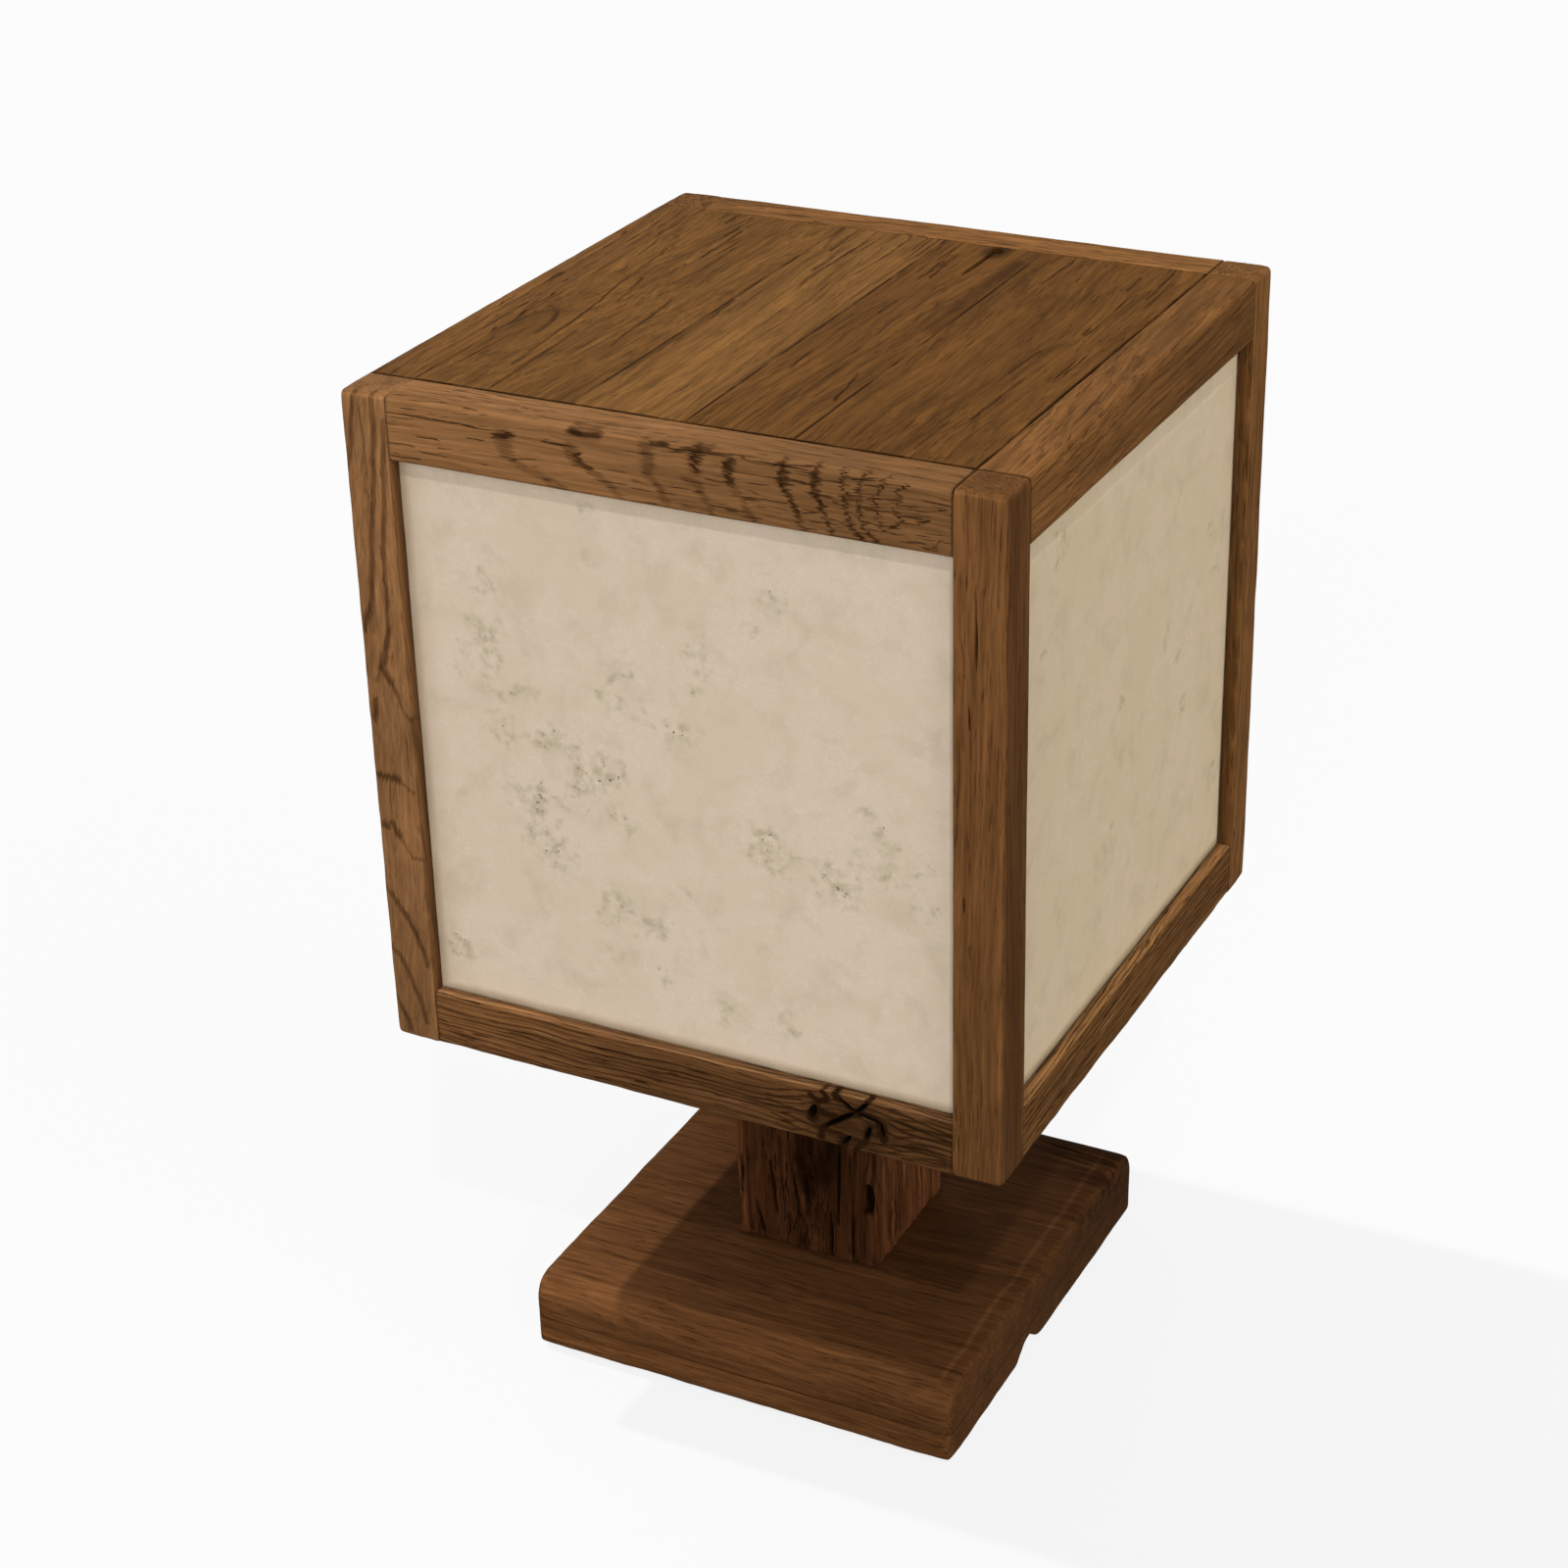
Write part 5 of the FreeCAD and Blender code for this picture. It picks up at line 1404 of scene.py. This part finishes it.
# %% New oak
NEW_OAK = {
    "X": dict(pith=(0.0, 0.30, 0.10), tone=(0.30, 0.155, 0.062), seed=81.3),
    "Y": dict(pith=(0.30, 0.0, 0.10), tone=(0.28, 0.145, 0.058), seed=84.6),
    "Z": dict(pith=(0.10, 0.30, 0.30), tone=(0.29, 0.150, 0.060), seed=87.2),
}
NEVER_DEEP = (1.0, 2.0)
PLAIN_OAK = dict(turn=(0, 0, 0), rings=0.3, wear=0.0, deep=NEVER_DEEP, streaks=0.35, fibres=0.5, pores=0.6)
new_oak = {grain: oak_finish(f"new {grain}", LANTERN, LANTERN, grain=grain, **PLAIN_OAK, **board)
           for grain, board in NEW_OAK.items()}


def new_oak_for(node):
    """The finish whose grain runs along the node's longest side."""
    low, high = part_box(node)
    return new_oak["XYZ"[int(np.argmax(np.array(high) - np.array(low)))]]


inner_oak = ["bearer"] + [node for node in frame["nodes"] if node.startswith("bead_")]
for node in inner_oak:
    frame["nodes"][node].data.materials[0] = new_oak_for(node)
print(len(inner_oak), "pieces of new oak")


# %% Handled metal group
def handled_metal_group():
    """Fine lines round the Z axis, and spots where the surface has gone dull."""
    tree, recipe, given, result = new_group(
        "Handled metal", {"Place": VECTOR, "Seed": FLOAT}, {"Lines": FLOAT, "Dull": FLOAT})
    place = recipe.vector("ADD", given["Place"], recipe.join(given["Seed"], 0.0, 0.0))
    recipe.put(result["Lines"], recipe.stretched(place, (60, 60, 5200), detail=2))
    spots = recipe.noise(place, scale=240, detail=4, roughness=0.65)
    recipe.put(result["Dull"], recipe.step(spots, 0.46, 0.68))
    return tree


HANDLED_METAL = handled_metal_group()


def metal_finish(name, bright, dull, smooth, seed):
    """Metal that is bright and smooth between its dull spots."""
    material, recipe, shader, coords = new_finish(name, Metallic=1.0)
    metal = recipe.group(HANDLED_METAL, {"Place": coords["Object"], "Seed": seed})
    tint = recipe.mix(metal["Dull"], colour(*bright), colour(*dull))
    recipe.put(shader["Base Color"], recipe.shaded(tint, recipe.spread(metal["Lines"], 0.86, 1.14)))
    rough = recipe.plus(smooth, recipe.times(metal["Dull"], 0.16), recipe.times(metal["Lines"], 0.10))
    recipe.put(shader["Roughness"], rough)
    recipe.bump(shader, metal["Lines"], 0.2, 0.0001)
    return material


# %% Felt, moulded and fired finishes
SPECK_SHIFT = (3.1, 1.7, 0.4)


def matt_finish(name, light, dark, scale, rough, bump_depth, specks=0.0, **plain):
    """A dull surface whose colour, gloss and height vary at one scale, with specks where they are wanted."""
    material, recipe, shader, coords = new_finish(name, **plain)
    grains = recipe.noise(coords["Object"], scale=scale, detail=4, roughness=0.65)
    tint = recipe.mix(recipe.step(grains, 0.35, 0.65), colour(*light), colour(*dark))
    if specks:
        elsewhere = recipe.vector("ADD", coords["Object"], SPECK_SHIFT)
        dots = recipe.step(recipe.noise(elsewhere, scale=scale * 1.7, detail=1), 0.68, 0.74)
        tint = recipe.mix(recipe.times(dots, specks), tint, scaled(dark, 0.45))
    recipe.put(shader["Base Color"], tint)
    recipe.put(shader["Roughness"], recipe.spread(grains, *rough))
    recipe.bump(shader, grains, 0.5, bump_depth)
    return material


# %% Bulb glass
def glass_finish():
    """Clear glass, a little uneven, with a faint film of dust."""
    material, recipe, shader, coords = new_finish("Bulb glass", Transmission_Weight=1.0, IOR=1.46)
    film = recipe.noise(coords["Object"], scale=90, detail=4, roughness=0.6)
    recipe.put(shader["Base Color"], recipe.mix(film, colour(0.98, 0.985, 0.98), colour(0.93, 0.94, 0.925)))
    recipe.put(shader["Roughness"], recipe.spread(film, 0.0, 0.06))
    recipe.bump(shader, recipe.noise(coords["Object"], scale=28, detail=1), 0.15, 0.0006)
    return material


# %% Finishes of the small parts
SMALL_FINISHES = {
    "felt": matt_finish("Felt", (0.020, 0.018, 0.016), (0.009, 0.008, 0.007), 1500, (0.86, 1.0), 0.0004,
                        Specular_IOR_Level=0.05, Sheen_Weight=0.4),
    "steel": metal_finish("Zinc steel", (0.60, 0.60, 0.58), (0.36, 0.36, 0.35), 0.24, 4.0),
    "brass": metal_finish("Brass", (0.74, 0.52, 0.22), (0.40, 0.25, 0.09), 0.20, 9.0),
    "black_plastic": matt_finish("Black plastic", (0.014, 0.014, 0.014), (0.009, 0.009, 0.010), 1900,
                                 (0.34, 0.52), 0.00012),
    "ceramic_core": matt_finish("Fired core", (0.78, 0.755, 0.70), (0.66, 0.63, 0.57), 260,
                                (0.45, 0.70), 0.0002, specks=0.5),
    "bulb_glass": glass_finish(),
    "cap_insulator": matt_finish("Cap insulator", (0.010, 0.010, 0.012), (0.006, 0.006, 0.007), 420,
                                 (0.10, 0.26), 0.0001, Coat_Weight=0.4),
    "filament": matt_finish("Filament", (0.88, 0.60, 0.12), (0.74, 0.46, 0.07), 2600, (0.60, 0.85), 0.0002),
}
small_parts = 0
for row in frame["record"]["subparts"]:
    if row["material_slot"] in SMALL_FINISHES:
        frame["nodes"][row["node"]].data.materials[0] = SMALL_FINISHES[row["material_slot"]]
        small_parts += 1
print(small_parts, "small parts in", len(SMALL_FINISHES), "finishes")
